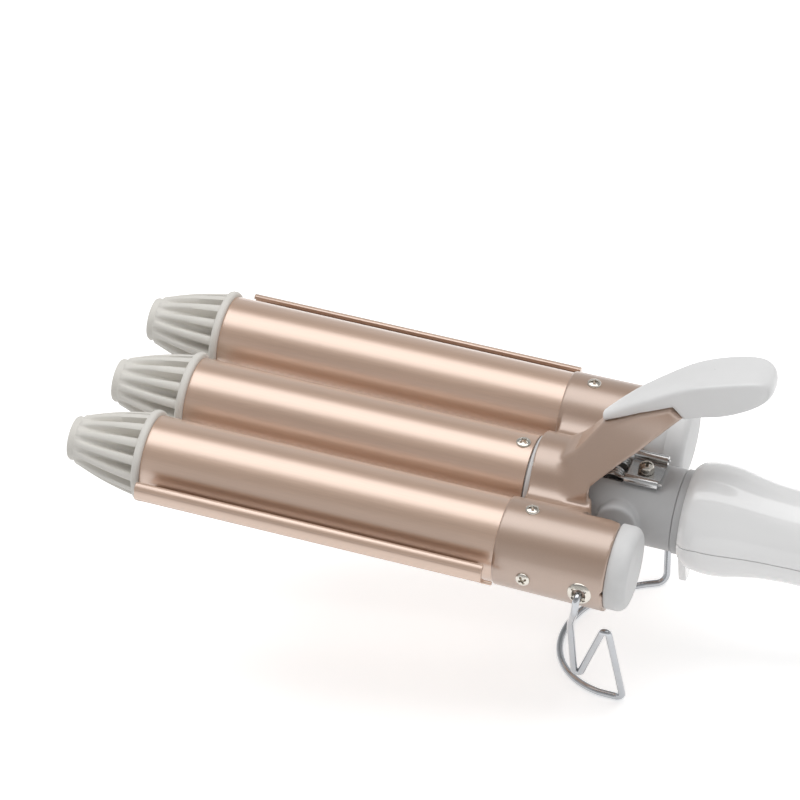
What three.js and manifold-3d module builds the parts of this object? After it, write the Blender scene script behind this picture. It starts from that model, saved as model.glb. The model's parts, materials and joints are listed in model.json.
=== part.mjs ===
import * as THREE from "three";
import { mergeVertices } from "three/addons/utils/BufferGeometryUtils.js";
import Module from "manifold-3d";

const wasm = await Module();
wasm.setup();

// Hair waver with three barrels, in millimetres.
// The tool is drawn level: 0 is the front edge of the bridge's sleeves, +X runs to the handle, +Z is up.
// The last lines turn it to the pitch at which it rests on its wire stand and its handle.

// Barrels and what is in them.
const BARREL_DIAMETER = 25;
const BARREL_SPACING = 32.35;
const BARREL_LENGTH = 108;
const BARREL_WALL = 1;
const MIDDLE_DROP = 0.8;
const MIDDLE_SETBACK = 1.2;
const TAIL_LENGTH = 14;
const TAIL_WALL = 1.3;
const HEATER_SETBACK = 14;
const HEATER_REAR_ROOM = 8;
const HEATER_BAR_WIDTH = 12;
const HEATER_BAR_THICKNESS = 3;
const SPREADER_WALL = 1;
const SPREADER_WIDTH = 10;

// Basket tips: a ring, twelve ribs and a flat nose.
const TIP_RING_RADIUS = 13.82;
const TIP_RING_WIDTH = 2.6;
const TIP_LENGTH = 21.8;
const TIP_SHOULDER = 12.8;
const TIP_NOSE_RADIUS = 6.15;
const TIP_NOSE_RIM = 1.4;
const TIP_SPIGOT = 9;
const TIP_WALL = 1.5;
const RIBS = 12;
const GROOVE_WIDE = 4.4;
const GROOVE_NARROW = 1.7;
const GROOVE_DEPTH_REAR = 4.2;
const GROOVE_DEPTH_FRONT = 1;

// Bridge: two sleeves, a saddle over the middle and the arm of the thumb pad.
const SLEEVE_LENGTH = 33.3;
const SLEEVE_STEP = 0.5;
const SLEEVE_WALL = 1.5;
const SADDLE_RADIUS = 15;
const SADDLE_WALL = 1.5;
const SADDLE_FRONT = 1.2;
const SADDLE_REAR = 19.4;
const SADDLE_LOW = 1.5;
const VALLEY_RADIUS = 4;
const ARM_WALL = 1.6;
const ARM_TIP_HALF_WIDTH = 3;
const ARM_END_HALF_WIDTH = 7.2;
const ARM_SPREAD = 0.55;
const PAD_HALF_WIDTH = 8;
const PAD_TIP_HALF_WIDTH = 1.4;
const PAD_END_ROUND = 9;

// Rails on the outer sides of the outer barrels.
const RAIL_FRONT_GAP = 1.5;
const RAIL_REAR_GAP = 1.6;
const RAIL_OFFSET = 18.3;
const RAIL_WIDTH = 3.6;
const RAIL_RISE = 3.7;
const RAIL_DROP = 3.4;
const RAIL_WALL = 1.2;
const RAIL_WEB_LENGTH = 3;
const RAIL_LIP = 2.6;

// White caps that close the sleeves.
const CAP_LENGTH = 5.8;
const CAP_EDGE = 2.8;
const CAP_SPIGOT = 3.2;

// Pivot of the lever.
const PIVOT_X = 28.3;
const PIVOT_PIN_RADIUS = 1.5;
const PIVOT_BOSS_RADIUS = 6;
const PIVOT_BOSS_REACH = 15.5;
const PIVOT_EAR_RADIUS = 4.5;

// Neck, its collar and the carrier of the middle barrel.
const NECK_RADIUS = 12.26;
const NECK_WALL = 3;
const NECK_FRONT = 3.6;
const NECK_REAR = 43.5;
const NECK_TOP = 9.7;
const COLLAR_RADIUS = 12.63;
const COLLAR_WIDTH = 2.4;
const NECK_TENON_RADIUS = 10.5;
const NECK_TENON_LENGTH = 16;
const CARRIER_RADIUS = 13.2;
const CARRIER_PLUG = 14;
const CARRIER_TENON = 8;
const CARRIER_BORE = 6.5;

// Handle: radius at distances behind the collar, and its two shells.
const HANDLE_LENGTH = 200;
const HANDLE_FRONT_STEP = 2.2;
const HANDLE_BULB_RADIUS = 16.4;
const HANDLE_WAIST_RADIUS = 13.6;
const HANDLE_GRIP_RADIUS = 17;
const HANDLE_END_RADIUS = 12.8;
const HANDLE_WALL = 3;
const HANDLE_REAR_WALL = 3;
const PARTING_DROP = 2.7;
const PARTING_RISE_LENGTH = 40;
const HANDLE_SCREW_FROM_START = 34;
const HANDLE_SCREW_FROM_END = 42;
const HANDLE_SCREW_SEAT = -9;
const HANDLE_SCREW_REACH = 13;
const HANDLE_BOSS_RADIUS = 4;
const PRONG_DEPTH = 26.5;
const PRONG_THICKNESS = 2.7;
const PRONG_WIDTH = 9;
const REST_LAND_FROM_END = 17;
const REST_LAND_SINK = 0.6;

// Controls on the top of the handle, and the board under them.
const FASCIA_START = 104;
const FASCIA_MARGIN = 4;
const FASCIA_WIDTH = 11;
const FASCIA_THICKNESS = 1.6;
const CONTROL_SINK = 4.8;
const BUTTON_RADIUS = 2.9;
const BUTTON_STEM_RADIUS = 1.5;
const BUTTON_TRAVEL = 0.9;
const BUTTON_PROUD = 1.2;
const BUTTON_PITCH = 10;
const DISPLAY_LENGTH = 13;
const DISPLAY_WIDTH = 7;
const LED_RADIUS = 1.1;
const LED_SPACING = 2.4;
const BOARD_THICKNESS = 1.6;
const BOARD_WIDTH = 16;
const BOARD_BELOW_FLAT = 7.2;
const POST_RADIUS = 2.2;
const TRANSFORMER_LENGTH = 18;
const TRANSFORMER_WIDTH = 14;
const TRANSFORMER_HEIGHT = 9;

// Swivel gland of the mains lead.
const GLAND_LENGTH = 12;
const GLAND_RADIUS = 6;
const GLAND_FLANGE_RADIUS = 8.5;
const GLAND_BORE_RADIUS = 2.7;
const GLAND_FLANGE_THICKNESS = 2.2;
const DRUM_RADIUS = 7.5;
const DRUM_LENGTH = 16;
const DRUM_GROOVE = 0.8;

// Sheet plate and torsion spring on the neck.
const PLATE_FRONT = 27.9;
const PLATE_REAR = 37.9;
const PLATE_HALF_WIDTH = 7.6;
const PLATE_THICKNESS = 0.8;
const PLATE_ROLL_RADIUS = 1.5;
const SPRING_WIRE_RADIUS = 0.45;
const SPRING_COIL_RADIUS = 2.9;
const SPRING_COIL_X = 24.2;
const SPRING_COIL_Z = 7.6;
const SPRING_CURLS = 3;
const SPRING_PITCH = 1.35;
const SPRING_LEG_SPREAD = 6.15;
const SPRING_BOW_X = 15.1;
const SPRING_BOW_Z = 15.2;
const SPRING_BOW_HALF_WIDTH = 1.1;

// Screws with pan heads and cross recesses.
const SCREW_HEAD_RADIUS = 2.15;
const SCREW_HEAD_HEIGHT = 1.4;
const SCREW_SHANK_RADIUS = 1.2;
const SLEEVE_SCREW_X = 7.7;
const SIDE_SCREW_X = 9.6;
const MIDDLE_SCREW_X = -4.4;
const PLATE_SCREW_X = 33;
const SIDE_SCREW_DROP = 1.7;
const SEAT_SINK = 0.5;
const SCREW_INSIDE = 3.2;

// Wire stand and the nuts that it hangs in.
const EYELET_X = 26.5;
const EYELET_DROP = 1;
const EYELET_RADIUS = 3.8;
const EYELET_THICKNESS = 1.2;
const EYELET_SHANK_RADIUS = 2.5;
const WIRE_RADIUS = 1;
const STAND_KNEE_DROP = 5.6;
const STAND_SHIN_X = 22.9;
const STAND_SHIN_DROP = 18.6;
const STAND_VALLEY_X = 26.3;
const STAND_VALLEY_DROP = 43.4;
const STAND_PEAK_X = 34.2;
const STAND_PEAK_DROP = 17;
const FOOT_CORNER_X = 37.6;
const FOOT_CORNER_DROP = 52;
const FOOT_HALF_WIDTH = 28.3;
const FOOT_APEX_X = 13;

// Gap between two pieces that touch on the real tool, and the sides of round pieces.
const GAP = 0.3;
const ROUND = 24;
const SMALL_ROUND = 12;

const BARREL_RADIUS = BARREL_DIAMETER / 2;
const HEATER_LENGTH = BARREL_LENGTH - HEATER_SETBACK - CARRIER_PLUG - HEATER_REAR_ROOM;
const SLEEVE_RADIUS = BARREL_RADIUS + SLEEVE_STEP;
const SLEEVE_BORE = SLEEVE_RADIUS - SLEEVE_WALL;
const TAIL_RADIUS = SLEEVE_BORE - GAP;
const BARREL_BORE = BARREL_RADIUS - BARREL_WALL;
const NECK_BORE = NECK_RADIUS - NECK_WALL;
const HANDLE_FRONT_RADIUS = HANDLE_BULB_RADIUS - HANDLE_FRONT_STEP;
const CONTROL_FLAT = HANDLE_GRIP_RADIUS - CONTROL_SINK;
const BOARD_TOP = CONTROL_FLAT - BOARD_BELOW_FLAT;
const HANDLE_START = NECK_REAR + COLLAR_WIDTH + 2 * GAP;
const HANDLE_END = HANDLE_START + HANDLE_LENGTH;
const SADDLE_BORE = SADDLE_RADIUS - SADDLE_WALL;
const FASCIA_LENGTH = 2 * FASCIA_MARGIN + DISPLAY_LENGTH + 2 * LED_RADIUS + 2 * LED_SPACING
  + 2 * (BUTTON_PITCH + BUTTON_RADIUS);
const FOOT_CORNER = new THREE.Vector3(FOOT_CORNER_X, FOOT_HALF_WIDTH, -FOOT_CORNER_DROP);

// Shared shapes.

// Closed solid of a geometry, with its faces turned outwards.
function solid(geometry) {
  const loose = geometry.index ? geometry.toNonIndexed() : geometry;
  const bare = new THREE.BufferGeometry();
  bare.setAttribute("position", loose.getAttribute("position"));
  const merged = mergeVertices(bare, 1e-3);
  const triVerts = new Uint32Array(merged.index.array);
  const vertProperties = merged.attributes.position.array;
  const made = new wasm.Manifold(new wasm.Mesh({ numProp: 3, vertProperties, triVerts }));
  if (made.volume() >= 0) return made;
  for (let i = 0; i < triVerts.length; i += 3) {
    const first = triVerts[i];
    triVerts[i] = triVerts[i + 1];
    triVerts[i + 1] = first;
  }
  return new wasm.Manifold(new wasm.Mesh({ numProp: 3, vertProperties, triVerts }));
}

function union(pieces) {
  return pieces.reduce((whole, piece) => whole.add(piece));
}

// Turned solid about an axis along X through (0, y, z); the profile holds [x, radius] pairs.
function turned(profile, y = 0, z = 0, sides = ROUND) {
  const points = profile.map(([x, radius]) => new THREE.Vector2(radius, x));
  const onAxis = profile[0][1] === 0 && profile[profile.length - 1][1] === 0;
  if (!onAxis) points.push(points[0].clone());
  const lathe = new THREE.LatheGeometry(points, sides);
  return solid(lathe.rotateZ(-Math.PI / 2).translate(0, y, z));
}

// Plain cylinder along "x", "y" or "z" between two stations.
function rod(axis, radius, from, to, centre, sides = SMALL_ROUND) {
  const middle = (from + to) / 2;
  const cylinder = new THREE.CylinderGeometry(radius, radius, to - from, sides);
  if (axis === "x") cylinder.rotateZ(-Math.PI / 2).translate(middle, centre[0], centre[1]);
  if (axis === "y") cylinder.translate(centre[0], middle, centre[1]);
  if (axis === "z") cylinder.rotateX(Math.PI / 2).translate(centre[0], centre[1], middle);
  return solid(cylinder);
}

function block(x, y, z) {
  const box = new THREE.BoxGeometry(x[1] - x[0], y[1] - y[0], z[1] - z[0]);
  return solid(box.translate((x[0] + x[1]) / 2, (y[0] + y[1]) / 2, (z[0] + z[1]) / 2));
}

function outline(points) {
  return new THREE.Shape(points.map(([a, b]) => new THREE.Vector2(a, b)));
}

// Outline in X and Z, extruded along Y between two stations.
function sidePrism(shape, from, to) {
  const settings = { depth: to - from, bevelEnabled: false, curveSegments: 6 };
  const geometry = new THREE.ExtrudeGeometry(shape, settings);
  return geometry.rotateX(Math.PI / 2).translate(0, to, 0);
}

// Outline in Y and Z, extruded along X between two stations.
function crossPrism(shape, from, to) {
  const settings = { depth: to - from, bevelEnabled: false, curveSegments: 6 };
  const geometry = new THREE.ExtrudeGeometry(shape, settings);
  const turn = new THREE.Matrix4().makeBasis(
    new THREE.Vector3(0, 1, 0),
    new THREE.Vector3(0, 0, 1),
    new THREE.Vector3(1, 0, 0),
  );
  return geometry.applyMatrix4(turn).translate(from, 0, 0);
}

// Outline in X and Y, extruded along Z between two stations.
function topPrism(shape, from, to) {
  const settings = { depth: to - from, bevelEnabled: false, curveSegments: 6 };
  const geometry = new THREE.ExtrudeGeometry(shape, settings);
  return geometry.translate(0, 0, from);
}

// Round wire along a smooth curve through points.
function wire(points, radius, steps, sides) {
  const section = new THREE.Shape();
  section.absarc(0, 0, radius, 0, 2 * Math.PI);
  const path = new THREE.CatmullRomCurve3(points, false, "centripetal");
  const options = { steps, extrudePath: path, bevelEnabled: false, curveSegments: sides / 2 };
  return solid(new THREE.ExtrudeGeometry(section, options));
}

// Screw that stands on z = 0 with its shank down, then turned about X and moved.
function screw(shankLength, turn, place) {
  const crown = SCREW_HEAD_RADIUS * 0.72;
  const profile = [
    [-shankLength, 0],
    [-shankLength, SCREW_SHANK_RADIUS],
    [0, SCREW_SHANK_RADIUS],
    [0, SCREW_HEAD_RADIUS],
    [SCREW_HEAD_HEIGHT * 0.55, SCREW_HEAD_RADIUS],
    [SCREW_HEAD_HEIGHT, crown],
    [SCREW_HEAD_HEIGHT, 0],
  ];
  const points = profile.map(([height, radius]) => new THREE.Vector2(radius, height));
  const recess = SCREW_HEAD_HEIGHT * 0.45;
  const span = SCREW_HEAD_RADIUS * 1.15;
  const slot = SCREW_HEAD_RADIUS * 0.28;
  const upright = new THREE.LatheGeometry(points, SMALL_ROUND).rotateX(Math.PI / 2);
  const slots = [
    new THREE.BoxGeometry(span, slot, 2 * recess),
    new THREE.BoxGeometry(slot, span, 2 * recess),
  ];
  const move = new THREE.Matrix4().makeRotationX(turn).setPosition(place);
  const cuts = slots.map((box) => solid(box.translate(0, 0, SCREW_HEAD_HEIGHT).applyMatrix4(move)));
  return solid(upright.applyMatrix4(move)).subtract(union(cuts));
}

const tool = new THREE.Group();

function place(name, made, look) {
  const data = made.getMesh();
  const geometry = new THREE.BufferGeometry();
  geometry.setAttribute("position", new THREE.BufferAttribute(new Float32Array(data.vertProperties), 3));
  geometry.setIndex(new THREE.BufferAttribute(new Uint32Array(data.triVerts), 1));
  geometry.computeVertexNormals();
  const [color, roughness, metalness] = look;
  const mesh = new THREE.Mesh(geometry, new THREE.MeshStandardMaterial({ color, roughness, metalness }));
  mesh.name = name;
  tool.add(mesh);
}

// Looks: colour, roughness, metalness.
const ROSE_GOLD = [0xc79f85, 0.32, 0.9];
const BRONZE = [0xa88670, 0.45, 0.8];
const TIP_GREY = [0xc9c6be, 0.6, 0];
const WHITE = [0xf0f0f0, 0.25, 0];
const NECK_GREY = [0xa6a7a8, 0.4, 0];
const STEEL = [0xc6c6c6, 0.25, 1];
const CHROME = [0xdadada, 0.1, 1];
const DARK = [0x202224, 0.3, 0];
const BOARD_GREEN = [0x1f5a3a, 0.6, 0];
const ALUMINIUM = [0xb8bbbe, 0.4, 1];
const AMBER = [0xd97b2f, 0.3, 0];
const BRASS = [0xb99a55, 0.3, 1];

// Barrels: the outer two end in a thinner tail inside the sleeves, the middle one in its carrier.

const SIDES = [["near", -1], ["far", 1]];

function outerBarrel(side) {
  const front = -BARREL_LENGTH;
  const profile = [
    [front, BARREL_RADIUS],
    [-GAP, BARREL_RADIUS],
    [-GAP, TAIL_RADIUS],
    [TAIL_LENGTH, TAIL_RADIUS],
    [TAIL_LENGTH, TAIL_RADIUS - TAIL_WALL],
    [-BARREL_WALL, TAIL_RADIUS - TAIL_WALL],
    [-BARREL_WALL - TAIL_WALL, BARREL_BORE],
    [front, BARREL_BORE],
  ];
  return turned(profile, side * BARREL_SPACING, 0);
}

const MIDDLE_FRONT = -BARREL_LENGTH + MIDDLE_SETBACK;
const MIDDLE_REAR = SADDLE_FRONT - 2.6;

function middleBarrel() {
  const profile = [
    [MIDDLE_FRONT, BARREL_RADIUS],
    [MIDDLE_REAR, BARREL_RADIUS],
    [MIDDLE_REAR, BARREL_BORE],
    [MIDDLE_FRONT, BARREL_BORE],
  ];
  return turned(profile, 0, -MIDDLE_DROP);
}

// Heater: a flat ceramic bar between two webs that press curved spreaders against the bore.
function heater(front, y, z) {
  const radius = BARREL_BORE - GAP;
  const start = front + HEATER_SETBACK;
  const end = start + HEATER_LENGTH;
  const half = HEATER_BAR_WIDTH / 2;
  const thick = HEATER_BAR_THICKNESS / 2;
  const ring = turned(
    [[start, radius - SPREADER_WALL], [start, radius], [end, radius], [end, radius - SPREADER_WALL]],
    y,
    z,
  );
  const spreaders = block(
    [start, end],
    [y - SPREADER_WIDTH / 2, y + SPREADER_WIDTH / 2],
    [z - radius - 1, z + radius + 1],
  ).intersect(ring);
  const bar = block([start, end], [y - half, y + half], [z - thick, z + thick]);
  const webReach = radius - SPREADER_WALL / 2;
  const web = SPREADER_WALL / 2;
  const webs = block([start, end], [y - web, y + web], [z - webReach, z + webReach]);
  return union([spreaders, bar, webs]);
}

// Tip: the ribs are what twelve tapering grooves leave of the outer shape, over a narrower core.
function basketTip(barrelFront, y, z) {
  const back = barrelFront - GAP;
  const ring = back - TIP_RING_WIDTH;
  const nose = ring - TIP_LENGTH;
  const bulge = (share) => {
    const straight = TIP_SHOULDER + (TIP_NOSE_RADIUS - TIP_SHOULDER) * share;
    return straight + 1.3 * Math.sin(Math.PI * share);
  };
  const shares = [0, 0.35, 0.7, 0.94];
  const outer = [[ring, 0], ...shares.map((share) => [ring - TIP_LENGTH * share, bulge(share)])];
  outer.push([nose + TIP_NOSE_RIM * 0.4, TIP_NOSE_RADIUS + 0.3], [nose, TIP_NOSE_RADIUS], [nose, 0]);
  const depth = (share) => GROOVE_DEPTH_REAR + (GROOVE_DEPTH_FRONT - GROOVE_DEPTH_REAR) * share;
  const core = [[ring + 1, 0], [ring + 1, bulge(0) - depth(0)]];
  core.push(...shares.map((share) => [ring - TIP_LENGTH * share, bulge(share) - depth(share)]));
  core.push([nose + 0.6, TIP_NOSE_RADIUS - GROOVE_DEPTH_FRONT], [nose + 0.6, 0]);
  const spigotBore = BARREL_BORE - GAP - TIP_WALL;
  const inside = (share) => bulge(share) - depth(share) - TIP_WALL;
  const hollow = [[back + TIP_SPIGOT + 1, 0], [back + TIP_SPIGOT + 1, spigotBore], [ring + 2, spigotBore]];
  hollow.push([ring, inside(0)], [nose + 2 * TIP_NOSE_RIM, inside(0.7)], [nose + 2 * TIP_NOSE_RIM, 0]);
  const socket = [
    [back + TIP_SPIGOT, 0],
    [back + TIP_SPIGOT, BARREL_BORE - GAP],
    [back, BARREL_BORE - GAP],
    [back, TIP_RING_RADIUS],
    [ring + 0.5, TIP_RING_RADIUS],
    [ring, TIP_RING_RADIUS - 0.5],
    [ring, 0],
  ];
  const groove = outline([
    [ring - 0.2, -GROOVE_WIDE / 2],
    [ring - 0.2, GROOVE_WIDE / 2],
    [nose + TIP_NOSE_RIM, GROOVE_NARROW / 2],
    [nose + TIP_NOSE_RIM, -GROOVE_NARROW / 2],
  ]);
  const cuts = [];
  for (let rib = 0; rib < RIBS; rib += 1) {
    const angle = (2 * Math.PI * rib) / RIBS;
    cuts.push(solid(topPrism(groove, 1, TIP_RING_RADIUS + 1).rotateX(angle).translate(0, y, z)));
  }
  const ribs = turned(outer, y, z, 2 * RIBS).subtract(union(cuts));
  const body = union([ribs, turned(core, y, z, 2 * RIBS), turned(socket, y, z, 2 * RIBS)]);
  return body.subtract(turned(hollow, y, z, RIBS));
}

// Rail: a folded strip beside the barrel on three short webs.
function rail(side) {
  const front = -BARREL_LENGTH + RAIL_FRONT_GAP;
  const rear = -RAIL_REAR_GAP;
  const axis = side * BARREL_SPACING;
  const across = (reach) => axis + side * reach;
  const inner = RAIL_OFFSET - RAIL_WIDTH / 2;
  const outer = RAIL_OFFSET + RAIL_WIDTH / 2;
  const high = RAIL_RISE;
  const low = -RAIL_DROP;
  const knee = low / 4;
  const section = outline([
    [across(inner), high],
    [across(outer - 1), high],
    [across(outer - 0.4), high - 0.5],
    [across(outer), high / 4],
    [across(outer), knee],
    [across(inner + 0.9), low],
    [across(inner), low],
    [across(inner), low + RAIL_WALL],
    [across(outer - 1.3 * RAIL_WALL), knee + 0.2],
    [across(outer - RAIL_WALL), high - RAIL_WALL],
    [across(inner), high - RAIL_WALL],
  ]);
  const lip = outline([
    [across(inner + 0.9), low],
    [across(inner), low],
    [across(inner), low + RAIL_WALL],
    [across(inner + 1.6), low + RAIL_WALL],
  ]);
  const pieces = [solid(crossPrism(section, front, rear)), solid(crossPrism(lip, rear - 1, rear + RAIL_LIP))];
  const webStarts = [front + 6, (front + rear) / 2, rear - 6 - RAIL_WEB_LENGTH];
  for (const start of webStarts) {
    const web = [across(BARREL_RADIUS + GAP), across(inner + 0.6)].sort((a, b) => a - b);
    pieces.push(block([start, start + RAIL_WEB_LENGTH], web, [low, low + RAIL_WALL]));
  }
  return union(pieces);
}

// Bridge.

// Places on the arm in its side view: the ridge up to the pad's tip, the seam under it and the lower edge.
const ARM_RIDGE = [[9, 14.1], [12, 16.2], [14.5, 19.5], [17, 23.4]];
const ARM_SEAM = [[19.4, 27], [30.3, 34.9], [39.3, 40.3]];
const ARM_END = [43.3, 37.7];
const ARM_LOWER = [[37.2, 29.5], [31.9, 22.1], [25.3, 15], [SADDLE_REAR, 9.5]];
const ARM_ROOT_LOW = 4;

// Half width of the arm at a place in its side view: narrow under the pad's tip, wide towards the saddle.
function armHalfWidth(x, z) {
  const [startX, startZ] = ARM_SEAM[0];
  const [endX, endZ] = ARM_SEAM[2];
  const length = Math.hypot(endX - startX, endZ - startZ);
  const alongX = (endX - startX) / length;
  const alongZ = (endZ - startZ) / length;
  const share = THREE.MathUtils.clamp(((x - startX) * alongX + (z - startZ) * alongZ) / length, 0, 1);
  const below = Math.max(0, (x - startX) * alongZ - (z - startZ) * alongX);
  const top = ARM_TIP_HALF_WIDTH + (ARM_END_HALF_WIDTH - ARM_TIP_HALF_WIDTH) * share;
  return Math.min(top + ARM_SPREAD * (1 - share) * below, SADDLE_RADIUS - 3.6);
}

// Side outline with a width that follows the arm's.
function armSolid(points, inset) {
  const geometry = sidePrism(outline(points), -1, 1);
  const position = geometry.getAttribute("position");
  for (let i = 0; i < position.count; i += 1) {
    const half = armHalfWidth(position.getX(i), position.getZ(i)) - inset;
    position.setY(i, position.getY(i) * half);
  }
  return solid(geometry);
}

function armOutside() {
  const points = [
    [ARM_RIDGE[0][0], ARM_ROOT_LOW],
    ...ARM_RIDGE,
    ...ARM_SEAM,
    ARM_END,
    ...ARM_LOWER,
    [SADDLE_REAR, ARM_ROOT_LOW],
  ];
  return armSolid(points, 0);
}

// Hollow under the arm, which opens to the neck and to the rear.
function armHollow() {
  const inward = ARM_WALL;
  const points = [
    [ARM_RIDGE[0][0] + 1.4 * inward, ARM_ROOT_LOW - 1],
    ...ARM_RIDGE.map(([x, z]) => [x + 0.95 * inward, z - 0.75 * inward]),
    ...ARM_SEAM.map(([x, z]) => [x + 0.45 * inward, z - 1.1 * inward]).slice(0, 2),
    [ARM_SEAM[2][0] - 0.3 * inward, ARM_SEAM[2][1] - 1.5 * inward],
    [ARM_END[0] - 0.8 * inward, ARM_END[1] - 1.3 * inward],
    [ARM_END[0], ARM_END[1] - 6],
    [SADDLE_REAR + 9, ARM_ROOT_LOW - 1],
  ];
  return armSolid(points, ARM_WALL);
}

// Web between the saddle and a sleeve, with a round valley that touches both.
function web(side) {
  const spread = Math.hypot(BARREL_SPACING, MIDDLE_DROP);
  const fromSaddle = SADDLE_RADIUS + VALLEY_RADIUS;
  const fromSleeve = SLEEVE_RADIUS + VALLEY_RADIUS;
  const along = (fromSaddle ** 2 - fromSleeve ** 2 + spread ** 2) / (2 * spread);
  const up = Math.sqrt(fromSaddle ** 2 - along ** 2);
  const tilt = Math.atan2(MIDDLE_DROP, BARREL_SPACING);
  const centreY = along * Math.cos(tilt) - up * Math.sin(tilt);
  const centreZ = -MIDDLE_DROP + along * Math.sin(tilt) + up * Math.cos(tilt);
  const toSaddle = Math.atan2(-MIDDLE_DROP - centreZ, -centreY);
  const toSleeve = Math.atan2(-centreZ, BARREL_SPACING - centreY);
  const points = [];
  const steps = 8;
  for (let step = 0; step <= steps; step += 1) {
    const angle = toSaddle + ((toSleeve - toSaddle) * step) / steps;
    points.push([
      side * (centreY + VALLEY_RADIUS * Math.cos(angle)),
      centreZ + VALLEY_RADIUS * Math.sin(angle),
    ]);
  }
  const sleeveSide = side * (BARREL_SPACING - SLEEVE_RADIUS + SLEEVE_WALL);
  const saddleSide = side * SADDLE_BORE;
  points.push([sleeveSide, -SADDLE_LOW], [saddleSide, -SADDLE_LOW]);
  return solid(crossPrism(outline(points), SADDLE_FRONT, SADDLE_REAR));
}

function bridge() {
  const pieces = [];
  const cuts = [armHollow()];
  const saddleEnds = [SADDLE_FRONT, SADDLE_REAR];
  const arch = [[saddleEnds[0], 0], ...saddleEnds.map((x) => [x, SADDLE_RADIUS]), [saddleEnds[1], 0]];
  const underside = [-SADDLE_RADIUS - 9, -SADDLE_LOW];
  const wide = SADDLE_RADIUS + 1;
  const below = block([SADDLE_FRONT - 1, SADDLE_REAR + 1], [-wide, wide], underside);
  pieces.push(turned(arch, 0, -MIDDLE_DROP).subtract(below), armOutside());
  for (const [, side] of SIDES) {
    const y = side * BARREL_SPACING;
    const sleeve = [[0, 0], [0, SLEEVE_RADIUS], [SLEEVE_LENGTH, SLEEVE_RADIUS], [SLEEVE_LENGTH, 0]];
    const bore = [[-1, 0], [-1, SLEEVE_BORE], [SLEEVE_LENGTH + 1, SLEEVE_BORE], [SLEEVE_LENGTH + 1, 0]];
    const earFrom = PIVOT_BOSS_REACH + GAP;
    const earTo = BARREL_SPACING - SLEEVE_BORE;
    const ear = [side * earFrom, side * earTo].sort((a, b) => a - b);
    const earBore = [side * (earFrom - 1), side * (earTo - SLEEVE_WALL)].sort((a, b) => a - b);
    pieces.push(turned(sleeve, y, 0), web(side));
    pieces.push(rod("y", PIVOT_EAR_RADIUS, ear[0], ear[1], [PIVOT_X, 0]));
    cuts.push(turned(bore, y, 0));
    cuts.push(rod("y", PIVOT_PIN_RADIUS + GAP, earBore[0], earBore[1], [PIVOT_X, 0]));
    cuts.push(...sleeveScrewCuts(side));
    cuts.push(rod("y", EYELET_SHANK_RADIUS + GAP, ...eyeletSpan(side, -4, 3), [EYELET_X, -EYELET_DROP]));
  }
  const shaft = [[0, 0], [0, SADDLE_BORE], [PIVOT_X, SADDLE_BORE], [PIVOT_X, 0]];
  cuts.push(turned(shaft, 0, -MIDDLE_DROP));
  return union(pieces).subtract(union(cuts));
}

// Screws of a sleeve: one on top and one on the outer flank, both into the barrel's tail.

function sleeveScrewCuts(side) {
  const y = side * BARREL_SPACING;
  const seat = SLEEVE_RADIUS - SEAT_SINK;
  const flank = [side * (BARREL_SPACING + seat), side * (BARREL_SPACING + SLEEVE_RADIUS + 2)];
  const hole = [side * (BARREL_SPACING + TAIL_RADIUS - 3), side * (BARREL_SPACING + SLEEVE_RADIUS + 1)];
  flank.sort((a, b) => a - b);
  hole.sort((a, b) => a - b);
  return [
    rod("z", SCREW_HEAD_RADIUS + GAP, seat, SLEEVE_RADIUS + 2, [SLEEVE_SCREW_X, y]),
    rod("z", SCREW_SHANK_RADIUS + GAP, TAIL_RADIUS - 3, SLEEVE_RADIUS + 1, [SLEEVE_SCREW_X, y]),
    rod("y", SCREW_HEAD_RADIUS + GAP, flank[0], flank[1], [SIDE_SCREW_X, -SIDE_SCREW_DROP]),
    rod("y", SCREW_SHANK_RADIUS + GAP, hole[0], hole[1], [SIDE_SCREW_X, -SIDE_SCREW_DROP]),
  ];
}

function sleeveScrew(side) {
  const height = SLEEVE_RADIUS - SEAT_SINK + GAP;
  const spot = new THREE.Vector3(SLEEVE_SCREW_X, side * BARREL_SPACING, height);
  return screw(SCREW_INSIDE, 0, spot);
}

function sideScrew(side) {
  const reach = side * (BARREL_SPACING + SLEEVE_RADIUS - SEAT_SINK + GAP);
  return screw(SCREW_INSIDE, (-side * Math.PI) / 2, new THREE.Vector3(SIDE_SCREW_X, reach, -SIDE_SCREW_DROP));
}

// Cap with a round rear edge and a short spigot.
function endCap(side) {
  const face = SLEEVE_LENGTH + GAP;
  const rear = SLEEVE_LENGTH + CAP_LENGTH;
  const profile = [
    [SLEEVE_LENGTH - CAP_SPIGOT, 0],
    [SLEEVE_LENGTH - CAP_SPIGOT, SLEEVE_BORE - GAP],
    [face, SLEEVE_BORE - GAP],
    [face, BARREL_RADIUS],
  ];
  for (let step = 0; step <= 3; step += 1) {
    const angle = (Math.PI / 2) * (step / 3);
    profile.push([
      rear - CAP_EDGE * (1 - Math.sin(angle)),
      BARREL_RADIUS - CAP_EDGE * (1 - Math.cos(angle)),
    ]);
  }
  profile.push([rear, 0]);
  return turned(profile, side * BARREL_SPACING, 0);
}

// Thumb pad: its side outline, cut to a pointed paddle in plan.
const PAD_TOP = [
  [19.1, 28.9], [24, 33.6], [30, 38.7], [40.7, 46.6], [47, 50],
  [53, 52.4], [58.5, 54.2], [63, 54.9], [66.3, 54],
];
const PAD_REAR = [[67.8, 52], [67.3, 49], [62, 45.5], [55, 42], [48.6, 39.8]];

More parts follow.
